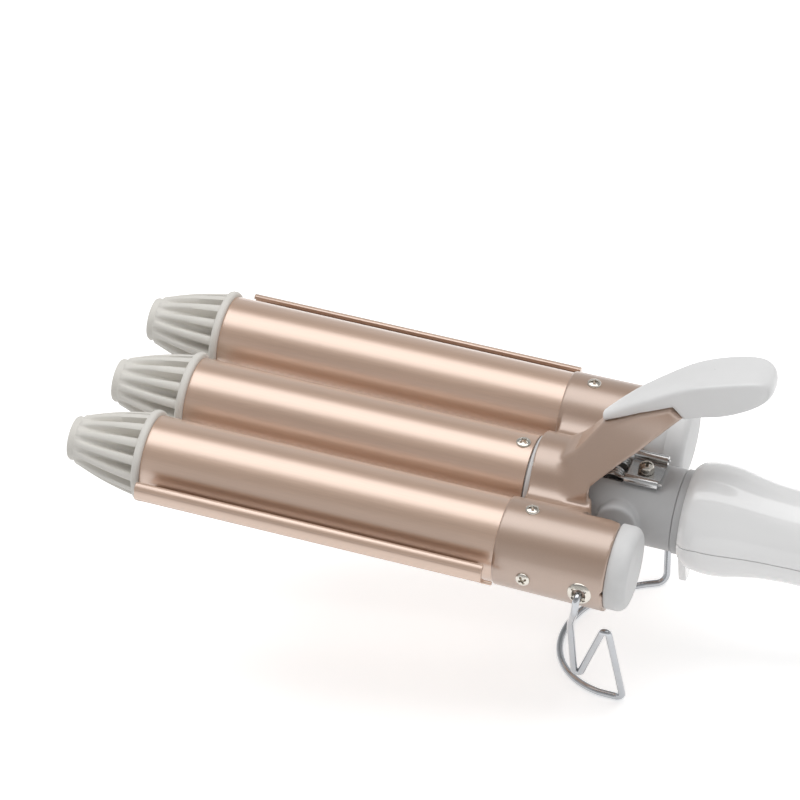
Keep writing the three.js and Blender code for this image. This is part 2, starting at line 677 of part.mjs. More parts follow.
function thumbPad() {
  const over = ARM_SEAM.map(([x, z]) => [x - 0.6 * GAP, z + 1.1 * GAP]).reverse();
  const behind = [ARM_END[0] + GAP, ARM_END[1] - 0.2];
  const seamEnd = [over[0][0] + 2 * GAP, over[0][1] + 0.1];
  const side = outline([...PAD_TOP, ...PAD_REAR, behind, seamEnd, ...over.slice(1)]);
  const tip = PAD_TOP[0][0] - 1;
  const end = PAD_REAR[0][0] + 0.5;
  const plan = new THREE.Shape();
  const widest = tip + 2.5 * PAD_HALF_WIDTH;
  const rounding = end - PAD_END_ROUND - PAD_HALF_WIDTH;
  plan.moveTo(tip, -PAD_TIP_HALF_WIDTH);
  plan.quadraticCurveTo(widest, -PAD_HALF_WIDTH, rounding, -PAD_HALF_WIDTH);
  plan.bezierCurveTo(end - 2, -PAD_HALF_WIDTH, end, -PAD_HALF_WIDTH / 2, end, 0);
  plan.bezierCurveTo(end, PAD_HALF_WIDTH / 2, end - 2, PAD_HALF_WIDTH, rounding, PAD_HALF_WIDTH);
  plan.quadraticCurveTo(widest, PAD_HALF_WIDTH, tip, PAD_TIP_HALF_WIDTH);
  const reach = PAD_HALF_WIDTH + 1;
  const heights = [...PAD_TOP, ...over].map(([, z]) => z);
  const upright = solid(topPrism(plan, Math.min(...heights) - 1, Math.max(...heights) + 1));
  return solid(sidePrism(side, -reach, reach)).intersect(upright);
}

// Eyelet nut on the sleeve's outer flank, with a shank through its wall.
function eyeletSpan(side, from, to) {
  const surface = BARREL_SPACING + SLEEVE_RADIUS;
  return [side * (surface + from), side * (surface + to)].sort((a, b) => a - b);
}

function eyelet(side) {
  const centre = [EYELET_X, -EYELET_DROP];
  const head = rod("y", EYELET_RADIUS, ...eyeletSpan(side, GAP, GAP + EYELET_THICKNESS), centre, 6);
  const shank = rod("y", EYELET_SHANK_RADIUS, ...eyeletSpan(side, -SLEEVE_WALL - 0.9, GAP + 0.1), centre);
  const hole = rod("y", WIRE_RADIUS + GAP, ...eyeletSpan(side, -6, 6), centre);
  return head.add(shank).subtract(hole);
}

// Neck and middle barrel's carrier.

function neckHousing() {
  const collarSeat = NECK_RADIUS - 0.8;
  const tenonStart = HANDLE_START - GAP;
  const tenonEnd = HANDLE_START + NECK_TENON_LENGTH;
  const profile = [
    [NECK_FRONT, NECK_RADIUS],
    [NECK_REAR, NECK_RADIUS],
    [NECK_REAR, collarSeat],
    [tenonStart, collarSeat],
    [tenonStart, NECK_TENON_RADIUS],
    [tenonEnd, NECK_TENON_RADIUS],
    [tenonEnd, NECK_TENON_RADIUS - 1.8],
    [NECK_REAR, NECK_TENON_RADIUS - 1.8],
    [NECK_REAR - 2, NECK_BORE],
    [NECK_FRONT, NECK_BORE],
  ];
  const bosses = SIDES.map(([, side]) => {
    const span = [side * (NECK_BORE - 1.5), side * PIVOT_BOSS_REACH].sort((a, b) => a - b);
    return rod("y", PIVOT_BOSS_RADIUS, span[0], span[1], [PIVOT_X, 0], 24);
  });
  const bore = [[PIVOT_X - PIVOT_BOSS_RADIUS - 1, 0], [PIVOT_X - PIVOT_BOSS_RADIUS - 1, NECK_BORE - 1.5]];
  bore.push([PIVOT_X + PIVOT_BOSS_RADIUS + 1, NECK_BORE - 1.5], [PIVOT_X + PIVOT_BOSS_RADIUS + 1, 0]);
  const coilReach = SPRING_COIL_RADIUS + SPRING_WIRE_RADIUS + GAP;
  const window = block(
    [SPRING_COIL_X - coilReach, SPRING_COIL_X + coilReach],
    [-SPRING_LEG_SPREAD - 1.2, SPRING_LEG_SPREAD + 1.2],
    [SPRING_COIL_Z - coilReach - 0.5, NECK_RADIUS + 1],
  );
  const cuts = [
    turned(bore, 0, -MIDDLE_DROP),
    block([SADDLE_FRONT, NECK_REAR - 2], [-NECK_RADIUS, NECK_RADIUS], [NECK_TOP, NECK_RADIUS + 1]),
    window,
    rod("y", PIVOT_PIN_RADIUS + GAP, -PIVOT_BOSS_REACH - 1, PIVOT_BOSS_REACH + 1, [PIVOT_X, 0]),
    rod("z", SCREW_SHANK_RADIUS + GAP, NECK_BORE - 4, NECK_TOP + 1, [PLATE_SCREW_X, 0]),
  ];
  return union([turned(profile, 0, -MIDDLE_DROP), ...bosses]).subtract(union(cuts));
}

function neckCollar() {
  const start = NECK_REAR + GAP;
  const end = start + COLLAR_WIDTH;
  const inner = NECK_RADIUS - 0.8 + GAP;
  const profile = [[start, inner], [start, COLLAR_RADIUS], [end, COLLAR_RADIUS], [end, inner]];
  return turned(profile, 0, -MIDDLE_DROP);
}

function middleCarrier() {
  const flangeEnd = NECK_FRONT - GAP;
  const profile = [
    [MIDDLE_REAR - CARRIER_PLUG, BARREL_BORE - GAP],
    [MIDDLE_REAR + GAP, BARREL_BORE - GAP],
    [MIDDLE_REAR + GAP, CARRIER_RADIUS],
    [flangeEnd, CARRIER_RADIUS],
    [flangeEnd, NECK_BORE - GAP],
    [flangeEnd + CARRIER_TENON, NECK_BORE - GAP],
    [flangeEnd + CARRIER_TENON, CARRIER_BORE],
    [MIDDLE_REAR - CARRIER_PLUG, CARRIER_BORE],
  ];
  const hole = rod("z", SCREW_SHANK_RADIUS + GAP, CARRIER_BORE - 2, BARREL_RADIUS + 1, [MIDDLE_SCREW_X, 0]);
  return turned(profile, 0, -MIDDLE_DROP).subtract(hole);
}

const MIDDLE_SEAT = BARREL_RADIUS - MIDDLE_DROP - 0.2;

function middleScrew() {
  return screw(SCREW_INSIDE, 0, new THREE.Vector3(MIDDLE_SCREW_X, 0, MIDDLE_SEAT + GAP));
}

function middleScrewCuts() {
  return union([
    rod("z", SCREW_HEAD_RADIUS + GAP, MIDDLE_SEAT, BARREL_RADIUS + 2, [MIDDLE_SCREW_X, 0]),
    rod("z", SCREW_SHANK_RADIUS + GAP, 0, BARREL_RADIUS + 2, [MIDDLE_SCREW_X, 0]),
  ]);
}

// Spring plate: a flat strip whose two sides are rolled over the spring's legs.
function springPlate() {
  const low = NECK_TOP + GAP;
  const high = low + PLATE_THICKNESS;
  const rollZ = low + PLATE_ROLL_RADIUS;
  const rollY = PLATE_HALF_WIDTH - PLATE_ROLL_RADIUS;
  const flat = block([PLATE_FRONT, PLATE_REAR], [-rollY, rollY], [low, high]);
  const rolls = SIDES.map(([, side]) => {
    const centre = [side * rollY, rollZ];
    const outer = rod("x", PLATE_ROLL_RADIUS, PLATE_FRONT, PLATE_REAR, centre);
    const inner = rod("x", SPRING_WIRE_RADIUS + GAP, PLATE_FRONT - 1, PLATE_REAR + 1, centre);
    return [outer, inner];
  });
  const hole = rod("z", SCREW_SHANK_RADIUS + GAP, low - 1, high + 1, [PLATE_SCREW_X, 0]);
  const cuts = [hole, ...rolls.map((roll) => roll[1])];
  return union([flat, ...rolls.map((roll) => roll[0])]).subtract(union(cuts));
}

function plateScrew() {
  const height = NECK_TOP + PLATE_THICKNESS + 2 * GAP;
  return screw(SCREW_INSIDE, 0, new THREE.Vector3(PLATE_SCREW_X, 0, height));
}

// Double torsion spring: one wire, a leg in each roll of the plate, two coils and a bow under the arm.
function springPoints() {
  const legZ = NECK_TOP + GAP + PLATE_ROLL_RADIUS;
  const legY = PLATE_HALF_WIDTH - PLATE_ROLL_RADIUS;
  const half = [];
  half.push(new THREE.Vector3(PLATE_REAR + 1.3, -legY, legZ));
  half.push(new THREE.Vector3((PLATE_REAR + PLATE_FRONT) / 2, -legY, legZ));
  half.push(new THREE.Vector3(PLATE_FRONT - 0.6, -legY, legZ));
  const steps = SPRING_CURLS * 8;
  const start = Math.PI * 0.42;
  for (let step = 0; step <= steps; step += 1) {
    const angle = start + (2 * Math.PI * step) / 8;
    half.push(new THREE.Vector3(
      SPRING_COIL_X + SPRING_COIL_RADIUS * Math.cos(angle),
      -SPRING_LEG_SPREAD + (SPRING_PITCH * step) / 8,
      SPRING_COIL_Z + SPRING_COIL_RADIUS * Math.sin(angle),
    ));
  }
  const last = half[half.length - 1];
  const bow = new THREE.Vector3(SPRING_BOW_X, -SPRING_BOW_HALF_WIDTH, SPRING_BOW_Z);
  half.push(last.clone().lerp(bow, 0.5), bow);
  const other = half.map((point) => new THREE.Vector3(point.x, -point.y, point.z)).reverse();
  return [...half, ...other];
}

// Least gap between two stretches of the wire that lie more than half a curl apart.
function springSelfGap(points) {
  let least = Infinity;
  const path = new THREE.CatmullRomCurve3(points, false, "centripetal");
  const samples = path.getSpacedPoints(600);
  const apart = Math.round((600 * Math.PI * SPRING_COIL_RADIUS) / path.getLength());
  for (let a = 0; a < samples.length; a += 1) {
    for (let b = a + apart; b < samples.length; b += 1) {
      least = Math.min(least, samples[a].distanceTo(samples[b]));
    }
  }
  return least - 2 * SPRING_WIRE_RADIUS;
}

function torsionSpring() {
  const points = springPoints();
  console.log("least gap of the spring's wire to itself: " + springSelfGap(points).toFixed(2) + " mm");
  const path = new THREE.CatmullRomCurve3(points, false, "centripetal");
  const section = new THREE.Shape();
  const sides = 5;
  for (let side = 0; side < sides; side += 1) {
    const angle = (2 * Math.PI * side) / sides;
    const spot = [SPRING_WIRE_RADIUS * Math.cos(angle), SPRING_WIRE_RADIUS * Math.sin(angle)];
    if (side === 0) section.moveTo(...spot);
    else section.lineTo(...spot);
  }
  const steps = Math.round((path.getLength() * 8) / (2 * Math.PI * SPRING_COIL_RADIUS));
  return solid(new THREE.ExtrudeGeometry(section, { steps, extrudePath: path, bevelEnabled: false }));
}

// Handle.

// Distance behind the handle's front and radius there.
const HANDLE_PROFILE = [
  [0, HANDLE_FRONT_RADIUS - 0.9],
  [0.8, HANDLE_FRONT_RADIUS],
  [2.8, HANDLE_FRONT_RADIUS + 1.3],
  [5.6, HANDLE_BULB_RADIUS - 0.3],
  [9, HANDLE_BULB_RADIUS],
  [14, HANDLE_BULB_RADIUS - 0.4],
  [21, (HANDLE_BULB_RADIUS + HANDLE_WAIST_RADIUS) / 2 - 0.6],
  [29, HANDLE_WAIST_RADIUS + 0.05],
  [42, HANDLE_WAIST_RADIUS],
  [80, (HANDLE_WAIST_RADIUS + HANDLE_GRIP_RADIUS) / 2 + 0.3],
  [120, HANDLE_GRIP_RADIUS],
  [150, HANDLE_GRIP_RADIUS - 0.3],
  [172, HANDLE_GRIP_RADIUS - 1],
  [HANDLE_LENGTH - 6, HANDLE_END_RADIUS - 1],
  [HANDLE_LENGTH - 2, HANDLE_END_RADIUS - 2.4],
  [HANDLE_LENGTH, HANDLE_END_RADIUS - 4.4],
];

function handleRadius(x) {
  const distance = x - HANDLE_START;
  const next = Math.max(1, HANDLE_PROFILE.findIndex(([d]) => d >= distance));
  const [d0, r0] = HANDLE_PROFILE[next - 1];
  const [d1, r1] = HANDLE_PROFILE[next];
  return r0 + ((r1 - r0) * (distance - d0)) / (d1 - d0);
}

// Where the two shells meet, in the side view.
const PARTING = [
  [HANDLE_START - 5, -PARTING_DROP - 0.7],
  [HANDLE_START + 14, -PARTING_DROP],
  [HANDLE_START + 14 + PARTING_RISE_LENGTH, -MIDDLE_DROP],
  [HANDLE_END + 5, -MIDDLE_DROP],
];

// Resting pitch: the plane that touches the stand's foot and the land under the handle's rear.
const LAND_X = HANDLE_END - REST_LAND_FROM_END;
const LAND_Z = -MIDDLE_DROP - handleRadius(LAND_X) + REST_LAND_SINK;
const FOOT_TO_LAND = new THREE.Vector2(LAND_X - FOOT_CORNER.x, LAND_Z - FOOT_CORNER.z);
const REST_PITCH = FOOT_TO_LAND.angle() + Math.asin(WIRE_RADIUS / FOOT_TO_LAND.length());

function handleShell(upper) {
  const tunnel = HANDLE_START + NECK_TENON_LENGTH / 2;
  const clampRadius = NECK_TENON_RADIUS + GAP;
  const rearWall = HANDLE_END - HANDLE_REAR_WALL;
  const outer = HANDLE_PROFILE.map(([d, radius]) => [HANDLE_START + d, radius]);
  const flangeRoom = GLAND_FLANGE_RADIUS + GAP;
  const inner = outer.map(([x, radius]) => [x, Math.max(flangeRoom, radius - HANDLE_WALL)]);
  const room = inner.filter(([x]) => x > tunnel && x < rearWall);
  const hollow = [
    [HANDLE_START - 1, 0],
    [HANDLE_START - 1, clampRadius],
    [tunnel, clampRadius],
    [tunnel, handleRadius(tunnel) - HANDLE_WALL],
    ...room,
    [rearWall, flangeRoom],
    [rearWall, GLAND_RADIUS + GAP],
    [HANDLE_END + 1, GLAND_RADIUS + GAP],
    [HANDLE_END + 1, 0],
  ];
  const way = upper ? 1 : -1;
  const edge = PARTING.map(([x, z]) => [x, z + (way * GAP) / 2]);
  const last = edge[edge.length - 1][0];
  const reach = 1.5 * Math.max(HANDLE_BULB_RADIUS, HANDLE_GRIP_RADIUS);
  const half = outline([...edge, [last, way * reach], [edge[0][0], way * reach]]);
  const halfSpace = solid(sidePrism(half, -reach, reach));
  const whole = turned([[HANDLE_START, 0], ...outer, [HANDLE_END, 0]], 0, -MIDDLE_DROP);
  const shell = whole.subtract(turned(hollow, 0, -MIDDLE_DROP)).intersect(halfSpace);
  return upper ? upperDetails(shell, halfSpace, whole) : lowerDetails(shell, halfSpace, whole);
}

const HANDLE_SCREWS = [HANDLE_START + HANDLE_SCREW_FROM_START, HANDLE_END - HANDLE_SCREW_FROM_END];

function bossOn(whole, halfSpace, x) {
  return rod("z", HANDLE_BOSS_RADIUS, -30, 30, [x, 0]).intersect(whole).intersect(halfSpace);
}

const BUTTONS = ["temp_down_button", "temp_up_button", "power_button"];

function buttonX(index) {
  const last = FASCIA_START + FASCIA_LENGTH - FASCIA_MARGIN - BUTTON_RADIUS;
  return last - BUTTON_PITCH * (BUTTONS.length - 1 - index);
}

function upperDetails(shell, halfSpace, whole) {
  const levelled = [FASCIA_START - GAP, FASCIA_START + FASCIA_LENGTH + GAP];
  const above = 2 * HANDLE_GRIP_RADIUS;
  const cuts = [block(levelled, [-above, above], [CONTROL_FLAT, above])];
  const backing = block(
    [FASCIA_START - 3, FASCIA_START + FASCIA_LENGTH + 3],
    [-FASCIA_WIDTH / 2 - 1.2, FASCIA_WIDTH / 2 + 1.2],
    [CONTROL_FLAT - 2, CONTROL_FLAT],
  ).intersect(whole);
  for (const x of HANDLE_SCREWS) {
    cuts.push(rod("z", SCREW_SHANK_RADIUS + GAP, -20, HANDLE_SCREW_SEAT + HANDLE_SCREW_REACH + 1, [x, 0]));
  }
  BUTTONS.forEach((name, index) => {
    cuts.push(rod("z", BUTTON_STEM_RADIUS + GAP, 0, 30, [buttonX(index), 0]));
  });
  const bosses = HANDLE_SCREWS.map((x) => bossOn(whole, halfSpace, x));
  return union([shell, backing, ...bosses]).subtract(union(cuts));
}

const BOARD_LOW = BOARD_TOP - BOARD_THICKNESS;
const POSTS = [FASCIA_START + 2, FASCIA_START + FASCIA_LENGTH - 2];

// Table plane in the level tool: everything under it is cut off the lower shell.
function underTable() {
  const depth = 2 * HANDLE_GRIP_RADIUS;
  const deep = new THREE.BoxGeometry(2 * HANDLE_LENGTH, 2 * depth, depth).translate(0, 0, -depth / 2);
  return solid(deep.rotateY(-REST_PITCH).translate(LAND_X, 0, LAND_Z));
}

function lowerDetails(shell, halfSpace, whole) {
  const cuts = [underTable()];
  const bosses = HANDLE_SCREWS.map((x) => bossOn(whole, halfSpace, x));
  for (const x of HANDLE_SCREWS) {
    cuts.push(rod("z", SCREW_SHANK_RADIUS + GAP, -20, 10, [x, 0]));
    cuts.push(rod("z", SCREW_HEAD_RADIUS + GAP, -30, HANDLE_SCREW_SEAT, [x, 0]));
  }
  const posts = POSTS.map((x) => {
    return rod("z", POST_RADIUS, -MIDDLE_DROP - handleRadius(x) + 1, BOARD_LOW - GAP, [x, 0]);
  });
  const prongFront = HANDLE_START - 0.6;
  const prongRear = prongFront + PRONG_THICKNESS;
  const prong = outline([
    [prongFront, -COLLAR_RADIUS - MIDDLE_DROP - 2 * GAP],
    [prongRear, -COLLAR_RADIUS - MIDDLE_DROP],
    [prongRear, -PRONG_DEPTH],
    [prongFront + 0.5, -PRONG_DEPTH],
    [prongFront, -PRONG_DEPTH + 0.5],
  ]);
  const hook = solid(sidePrism(prong, -PRONG_WIDTH / 2, PRONG_WIDTH / 2));
  const root = block(
    [HANDLE_START, prongRear],
    [-PRONG_WIDTH / 2, PRONG_WIDTH / 2],
    [-HANDLE_FRONT_RADIUS - 1, -NECK_TENON_RADIUS - 2 * GAP - MIDDLE_DROP],
  );
  return union([shell, ...bosses, ...posts, hook, root]).subtract(union(cuts));
}

function handleScrew(x) {
  return screw(HANDLE_SCREW_REACH, Math.PI, new THREE.Vector3(x, 0, HANDLE_SCREW_SEAT - GAP));
}

function controlBoard() {
  const ends = [FASCIA_START - 6, FASCIA_START + FASCIA_LENGTH + 6];
  return block(ends, [-BOARD_WIDTH / 2, BOARD_WIDTH / 2], [BOARD_LOW, BOARD_TOP]);
}

// Supply transformer, hung under the board in front of its rear post.
function transformer() {
  const end = POSTS[1] - POST_RADIUS - 2 * GAP;
  const top = BOARD_LOW - GAP;
  return block(
    [end - TRANSFORMER_LENGTH, end],
    [-TRANSFORMER_WIDTH / 2, TRANSFORMER_WIDTH / 2],
    [top - TRANSFORMER_HEIGHT, top],
  );
}

const FASCIA_LOW = CONTROL_FLAT + GAP;
const FASCIA_HIGH = FASCIA_LOW + FASCIA_THICKNESS;
const DISPLAY_X = FASCIA_START + FASCIA_MARGIN;
const LED_X = DISPLAY_X + DISPLAY_LENGTH + LED_SPACING + LED_RADIUS;
const DISPLAY_THICKNESS = 0.9;

function fascia() {
  const plan = [
    [FASCIA_START, -FASCIA_WIDTH / 2 + 2],
    [FASCIA_START + 2, -FASCIA_WIDTH / 2],
    [FASCIA_START + FASCIA_LENGTH - 2, -FASCIA_WIDTH / 2],
    [FASCIA_START + FASCIA_LENGTH, -FASCIA_WIDTH / 2 + 2],
  ];
  const mirrored = plan.map(([x, y]) => [x, -y]).reverse();
  const plate = solid(topPrism(outline([...plan, ...mirrored]), FASCIA_LOW, FASCIA_HIGH));
  const cuts = BUTTONS.map((name, index) => {
    return rod("z", BUTTON_RADIUS + GAP, FASCIA_LOW - 1, FASCIA_HIGH + 1, [buttonX(index), 0], 20);
  });
  const pocket = FASCIA_HIGH - DISPLAY_THICKNESS;
  const halfPocket = DISPLAY_WIDTH / 2 + GAP;
  const pocketEnds = [DISPLAY_X - GAP, DISPLAY_X + DISPLAY_LENGTH + GAP];
  cuts.push(block(pocketEnds, [-halfPocket, halfPocket], [pocket - GAP, FASCIA_HIGH + 1]));
  cuts.push(rod("z", LED_RADIUS + GAP, pocket - GAP, FASCIA_HIGH + 1, [LED_X, 0]));
  return plate.subtract(union(cuts));
}

function displayWindow() {
  const half = DISPLAY_WIDTH / 2;
  const ends = [DISPLAY_X, DISPLAY_X + DISPLAY_LENGTH];
  return block(ends, [-half, half], [FASCIA_HIGH - DISPLAY_THICKNESS, FASCIA_HIGH]);
}

function indicator() {
  return rod("z", LED_RADIUS, FASCIA_HIGH - DISPLAY_THICKNESS, FASCIA_HIGH + 0.2, [LED_X, 0]);
}

// Button: a round cap in the fascia and a stem through the shell to the board's switch.
function button(index) {
  const low = BOARD_TOP + GAP + BUTTON_TRAVEL;
  const capLow = CONTROL_FLAT + GAP + BUTTON_TRAVEL;
  const high = FASCIA_HIGH + BUTTON_PROUD;
  const stem = rod("z", BUTTON_STEM_RADIUS, low, capLow + 0.2, [buttonX(index), 0]);
  const cap = rod("z", BUTTON_RADIUS, capLow, high, [buttonX(index), 0], 20);
  return stem.add(cap);
}

// Gland: a flange behind the rear wall, a neck through it and a short sleeve with the lead's bore.
function swivelGland() {
  const inside = HANDLE_END - HANDLE_REAR_WALL - GAP;
  const outside = HANDLE_END + GLAND_LENGTH;
  const profile = [
    [inside - GLAND_FLANGE_THICKNESS, GLAND_BORE_RADIUS],
    [inside - GLAND_FLANGE_THICKNESS, GLAND_FLANGE_RADIUS],
    [inside, GLAND_FLANGE_RADIUS],
    [inside, GLAND_RADIUS],
    [HANDLE_END + GAP, GLAND_RADIUS],
    [HANDLE_END + GAP + 0.4, GLAND_RADIUS + 1],
    [HANDLE_END + 3, GLAND_RADIUS + 1],
    [outside - 1, GLAND_RADIUS - 1],
    [outside, GLAND_RADIUS - 2],
    [outside, GLAND_BORE_RADIUS],
  ];
  return turned(profile, 0, -MIDDLE_DROP, 20);
}

// Slip-ring drum, turned brass, which carries the mains past the swivel: three lands and two grooves.
function slipRingDrum() {
  const end = HANDLE_END - HANDLE_REAR_WALL - GLAND_FLANGE_THICKNESS - 2 * GAP;
  const start = end - DRUM_LENGTH;
  const land = DRUM_LENGTH / 5;
  const low = DRUM_RADIUS - DRUM_GROOVE;
  const profile = [[start, GLAND_BORE_RADIUS], [start, DRUM_RADIUS]];
  for (const groove of [1, 3]) {
    const from = start + groove * land;
    profile.push([from, DRUM_RADIUS], [from, low], [from + land, low], [from + land, DRUM_RADIUS]);
  }
  profile.push([end, DRUM_RADIUS], [end, GLAND_BORE_RADIUS]);
  return turned(profile, 0, -MIDDLE_DROP, 20);
}

function pivotPin() {
  const reach = BARREL_SPACING - SLEEVE_RADIUS - GAP;
  return rod("y", PIVOT_PIN_RADIUS, -reach, reach, [PIVOT_X, 0]);
}

// Stand: one chromed wire from eyelet to eyelet, with a kinked leg on each side and a flat bow as foot.
const LEG_LEAN = (BARREL_SPACING + SLEEVE_RADIUS + 2.05 - FOOT_CORNER.y) / (-FOOT_CORNER.z - 0.7);

// Y of the near leg's plane, which leans in from the eyelet to the foot's corner.
function legY(z) {
  return -FOOT_CORNER.y - LEG_LEAN * (z - FOOT_CORNER.z);
}

function roundedCorner(before, corner, after, radius) {
  const entry = corner.clone().add(before.clone().sub(corner).setLength(radius));
  const exit = corner.clone().add(after.clone().sub(corner).setLength(radius));
  const bend = new THREE.QuadraticBezierCurve3(entry, corner, exit);
  return bend.getPoints(4);
}

function standPoints() {
  const surface = BARREL_SPACING + SLEEVE_RADIUS;
  const turnOut = surface + GAP + EYELET_THICKNESS + WIRE_RADIUS + 0.5;
  const end = new THREE.Vector3(EYELET_X, -surface + SLEEVE_WALL + 0.8, -EYELET_DROP);
  const elbow = new THREE.Vector3(EYELET_X, -turnOut, -EYELET_DROP);
  const below = new THREE.Vector3(EYELET_X - 0.3, -turnOut + 0.3, -EYELET_DROP - STAND_KNEE_DROP);
  const shin = new THREE.Vector3(STAND_SHIN_X, legY(-STAND_SHIN_DROP), -STAND_SHIN_DROP);
  const valley = new THREE.Vector3(STAND_VALLEY_X, legY(-STAND_VALLEY_DROP), -STAND_VALLEY_DROP);
  const peak = new THREE.Vector3(STAND_PEAK_X, legY(-STAND_PEAK_DROP), -STAND_PEAK_DROP);
  const corner = new THREE.Vector3(FOOT_CORNER.x, -FOOT_CORNER.y, FOOT_CORNER.z);
  const sagitta = FOOT_CORNER.x - FOOT_APEX_X;
  const bowRadius = (FOOT_CORNER.y ** 2 + sagitta ** 2) / (2 * sagitta);
  const half = Math.acos((bowRadius - sagitta) / bowRadius);
  const slope = Math.tan(REST_PITCH);
  const bow = [];
  const steps = 12;
  for (let step = 0; step <= steps; step += 1) {
    const angle = -half + (2 * half * step) / steps;
    const x = FOOT_APEX_X + bowRadius * (1 - Math.cos(angle));
    bow.push(new THREE.Vector3(x, bowRadius * Math.sin(angle), FOOT_CORNER.z - slope * (FOOT_CORNER.x - x)));
  }
  const leg = [
    end,
    ...roundedCorner(end, elbow, below, 1.6),
    ...roundedCorner(elbow, below, shin, 2.5),
    ...roundedCorner(below, shin, valley, 4),
    ...roundedCorner(shin, valley, peak, 3),
    ...roundedCorner(valley, peak, corner, 2.6),
    ...roundedCorner(peak, corner, bow[1], 3),
  ];
  const farLeg = leg.map((point) => new THREE.Vector3(point.x, -point.y, point.z)).reverse();
  return [...leg, ...bow.slice(1, steps), ...farLeg];
}

function wireStand() {
  return wire(standPoints(), WIRE_RADIUS, 120, 6);
}

// Assembly.

for (const [name, side] of SIDES) {
  const y = side * BARREL_SPACING;
  const holes = union(sleeveScrewCuts(side));
  place(name + "_barrel", outerBarrel(side).subtract(holes), ROSE_GOLD);
  place(name + "_rail", rail(side), ROSE_GOLD);
  place(name + "_tip", basketTip(-BARREL_LENGTH, y, 0), TIP_GREY);
  place(name + "_heater", heater(-BARREL_LENGTH, y, 0), ALUMINIUM);
  place(name + "_end_cap", endCap(side), WHITE);
  place(name + "_eyelet_nut", eyelet(side), STEEL);
  place(name + "_sleeve_screw", sleeveScrew(side), STEEL);
  place(name + "_side_screw", sideScrew(side), STEEL);
}
place("bridge", bridge(), BRONZE);
place("thumb_pad", thumbPad(), WHITE);
place("middle_barrel", middleBarrel().subtract(middleScrewCuts()), ROSE_GOLD);
place("middle_tip", basketTip(MIDDLE_FRONT, 0, -MIDDLE_DROP), TIP_GREY);
place("middle_heater", heater(MIDDLE_FRONT, 0, -MIDDLE_DROP), ALUMINIUM);
place("middle_carrier", middleCarrier(), WHITE);
place("middle_screw", middleScrew(), STEEL);
place("neck_housing", neckHousing(), NECK_GREY);
place("neck_collar", neckCollar(), NECK_GREY);
place("pivot_pin", pivotPin(), STEEL);
place("spring_plate", springPlate(), STEEL);
place("spring_plate_screw", plateScrew(), STEEL);
place("torsion_spring", torsionSpring(), STEEL);
place("handle_upper_shell", handleShell(true), WHITE);
place("handle_lower_shell", handleShell(false), WHITE);
HANDLE_SCREWS.forEach((x, index) => place("handle_screw_" + (index + 1), handleScrew(x), STEEL));
place("control_board", controlBoard(), BOARD_GREEN);
place("supply_transformer", transformer(), STEEL);
place("control_fascia", fascia(), DARK);
place("display_window", displayWindow(), DARK);
place("indicator_lamp", indicator(), AMBER);
BUTTONS.forEach((name, index) => place(name, button(index), WHITE));
place("swivel_gland", swivelGland(), WHITE);
place("slip_ring_drum", slipRingDrum(), BRASS);
place("wire_stand", wireStand(), CHROME);

// Rest: pitch the tool about Y onto its foot and land, then centre it over the origin.
tool.rotation.y = REST_PITCH;
tool.updateMatrixWorld(true);
const bounds = new THREE.Box3().setFromObject(tool, true);
const land = new THREE.Vector3(LAND_X, 0, LAND_Z).applyMatrix4(tool.matrixWorld);
tool.position.set(-(bounds.min.x + bounds.max.x) / 2, 0, -land.z);
const part = new THREE.Group();
part.add(tool);

export default part;
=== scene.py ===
import json
from math import acos, asin, atan2, cos, pi, radians, sin, tan

import bmesh
import bpy
import numpy as np
from mathutils import Matrix, Vector


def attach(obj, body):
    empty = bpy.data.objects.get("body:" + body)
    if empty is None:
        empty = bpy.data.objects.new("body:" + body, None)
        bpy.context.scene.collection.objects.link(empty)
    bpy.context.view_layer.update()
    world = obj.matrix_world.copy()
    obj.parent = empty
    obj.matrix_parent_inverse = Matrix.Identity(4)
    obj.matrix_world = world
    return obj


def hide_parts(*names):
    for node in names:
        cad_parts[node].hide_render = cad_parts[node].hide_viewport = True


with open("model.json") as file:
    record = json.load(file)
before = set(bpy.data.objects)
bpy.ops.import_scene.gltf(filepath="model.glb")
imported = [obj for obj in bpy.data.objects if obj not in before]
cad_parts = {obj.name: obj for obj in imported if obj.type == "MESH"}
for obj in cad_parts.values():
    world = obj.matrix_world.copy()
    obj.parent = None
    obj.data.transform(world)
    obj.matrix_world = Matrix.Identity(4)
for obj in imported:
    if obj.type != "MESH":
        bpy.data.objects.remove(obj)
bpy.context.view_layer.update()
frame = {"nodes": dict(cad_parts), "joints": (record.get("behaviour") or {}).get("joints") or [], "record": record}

# The level tool and the camera.
# Every piece is drawn in millimetres on the level tool: X runs from the barrels to the handle, Z is up,
# and X is 0 at the front edge of the sleeves. The tool then lies on its stand at the pitch of the frame.

PIVOT_X = 28.3
joints = {joint["name"]: joint for joint in frame["joints"]}
swivel_axis = joints["gland_swivel"]["axis"]
REST_PITCH = atan2(-swivel_axis[2], swivel_axis[0])
pivot_place = Vector(joints["lever_hinge"]["pos_m"])
level_to_table = (
    Matrix.Translation(pivot_place)
    @ Matrix.Rotation(REST_PITCH, 4, "Y")
    @ Matrix.Scale(0.001, 4)
    @ Matrix.Translation((-PIVOT_X, 0, 0))
)

VIEW_AZIMUTH = radians(16.419)
VIEW_ELEVATION = radians(36.899)
VIEW_ROLL = radians(2.955)
VIEW_DISTANCE = 1137.4
VIEW_CENTRE = Vector((-48.96, 20.36, 0))
SENSOR_WIDTH = 36
LENS_TO_FRAME = 4.71

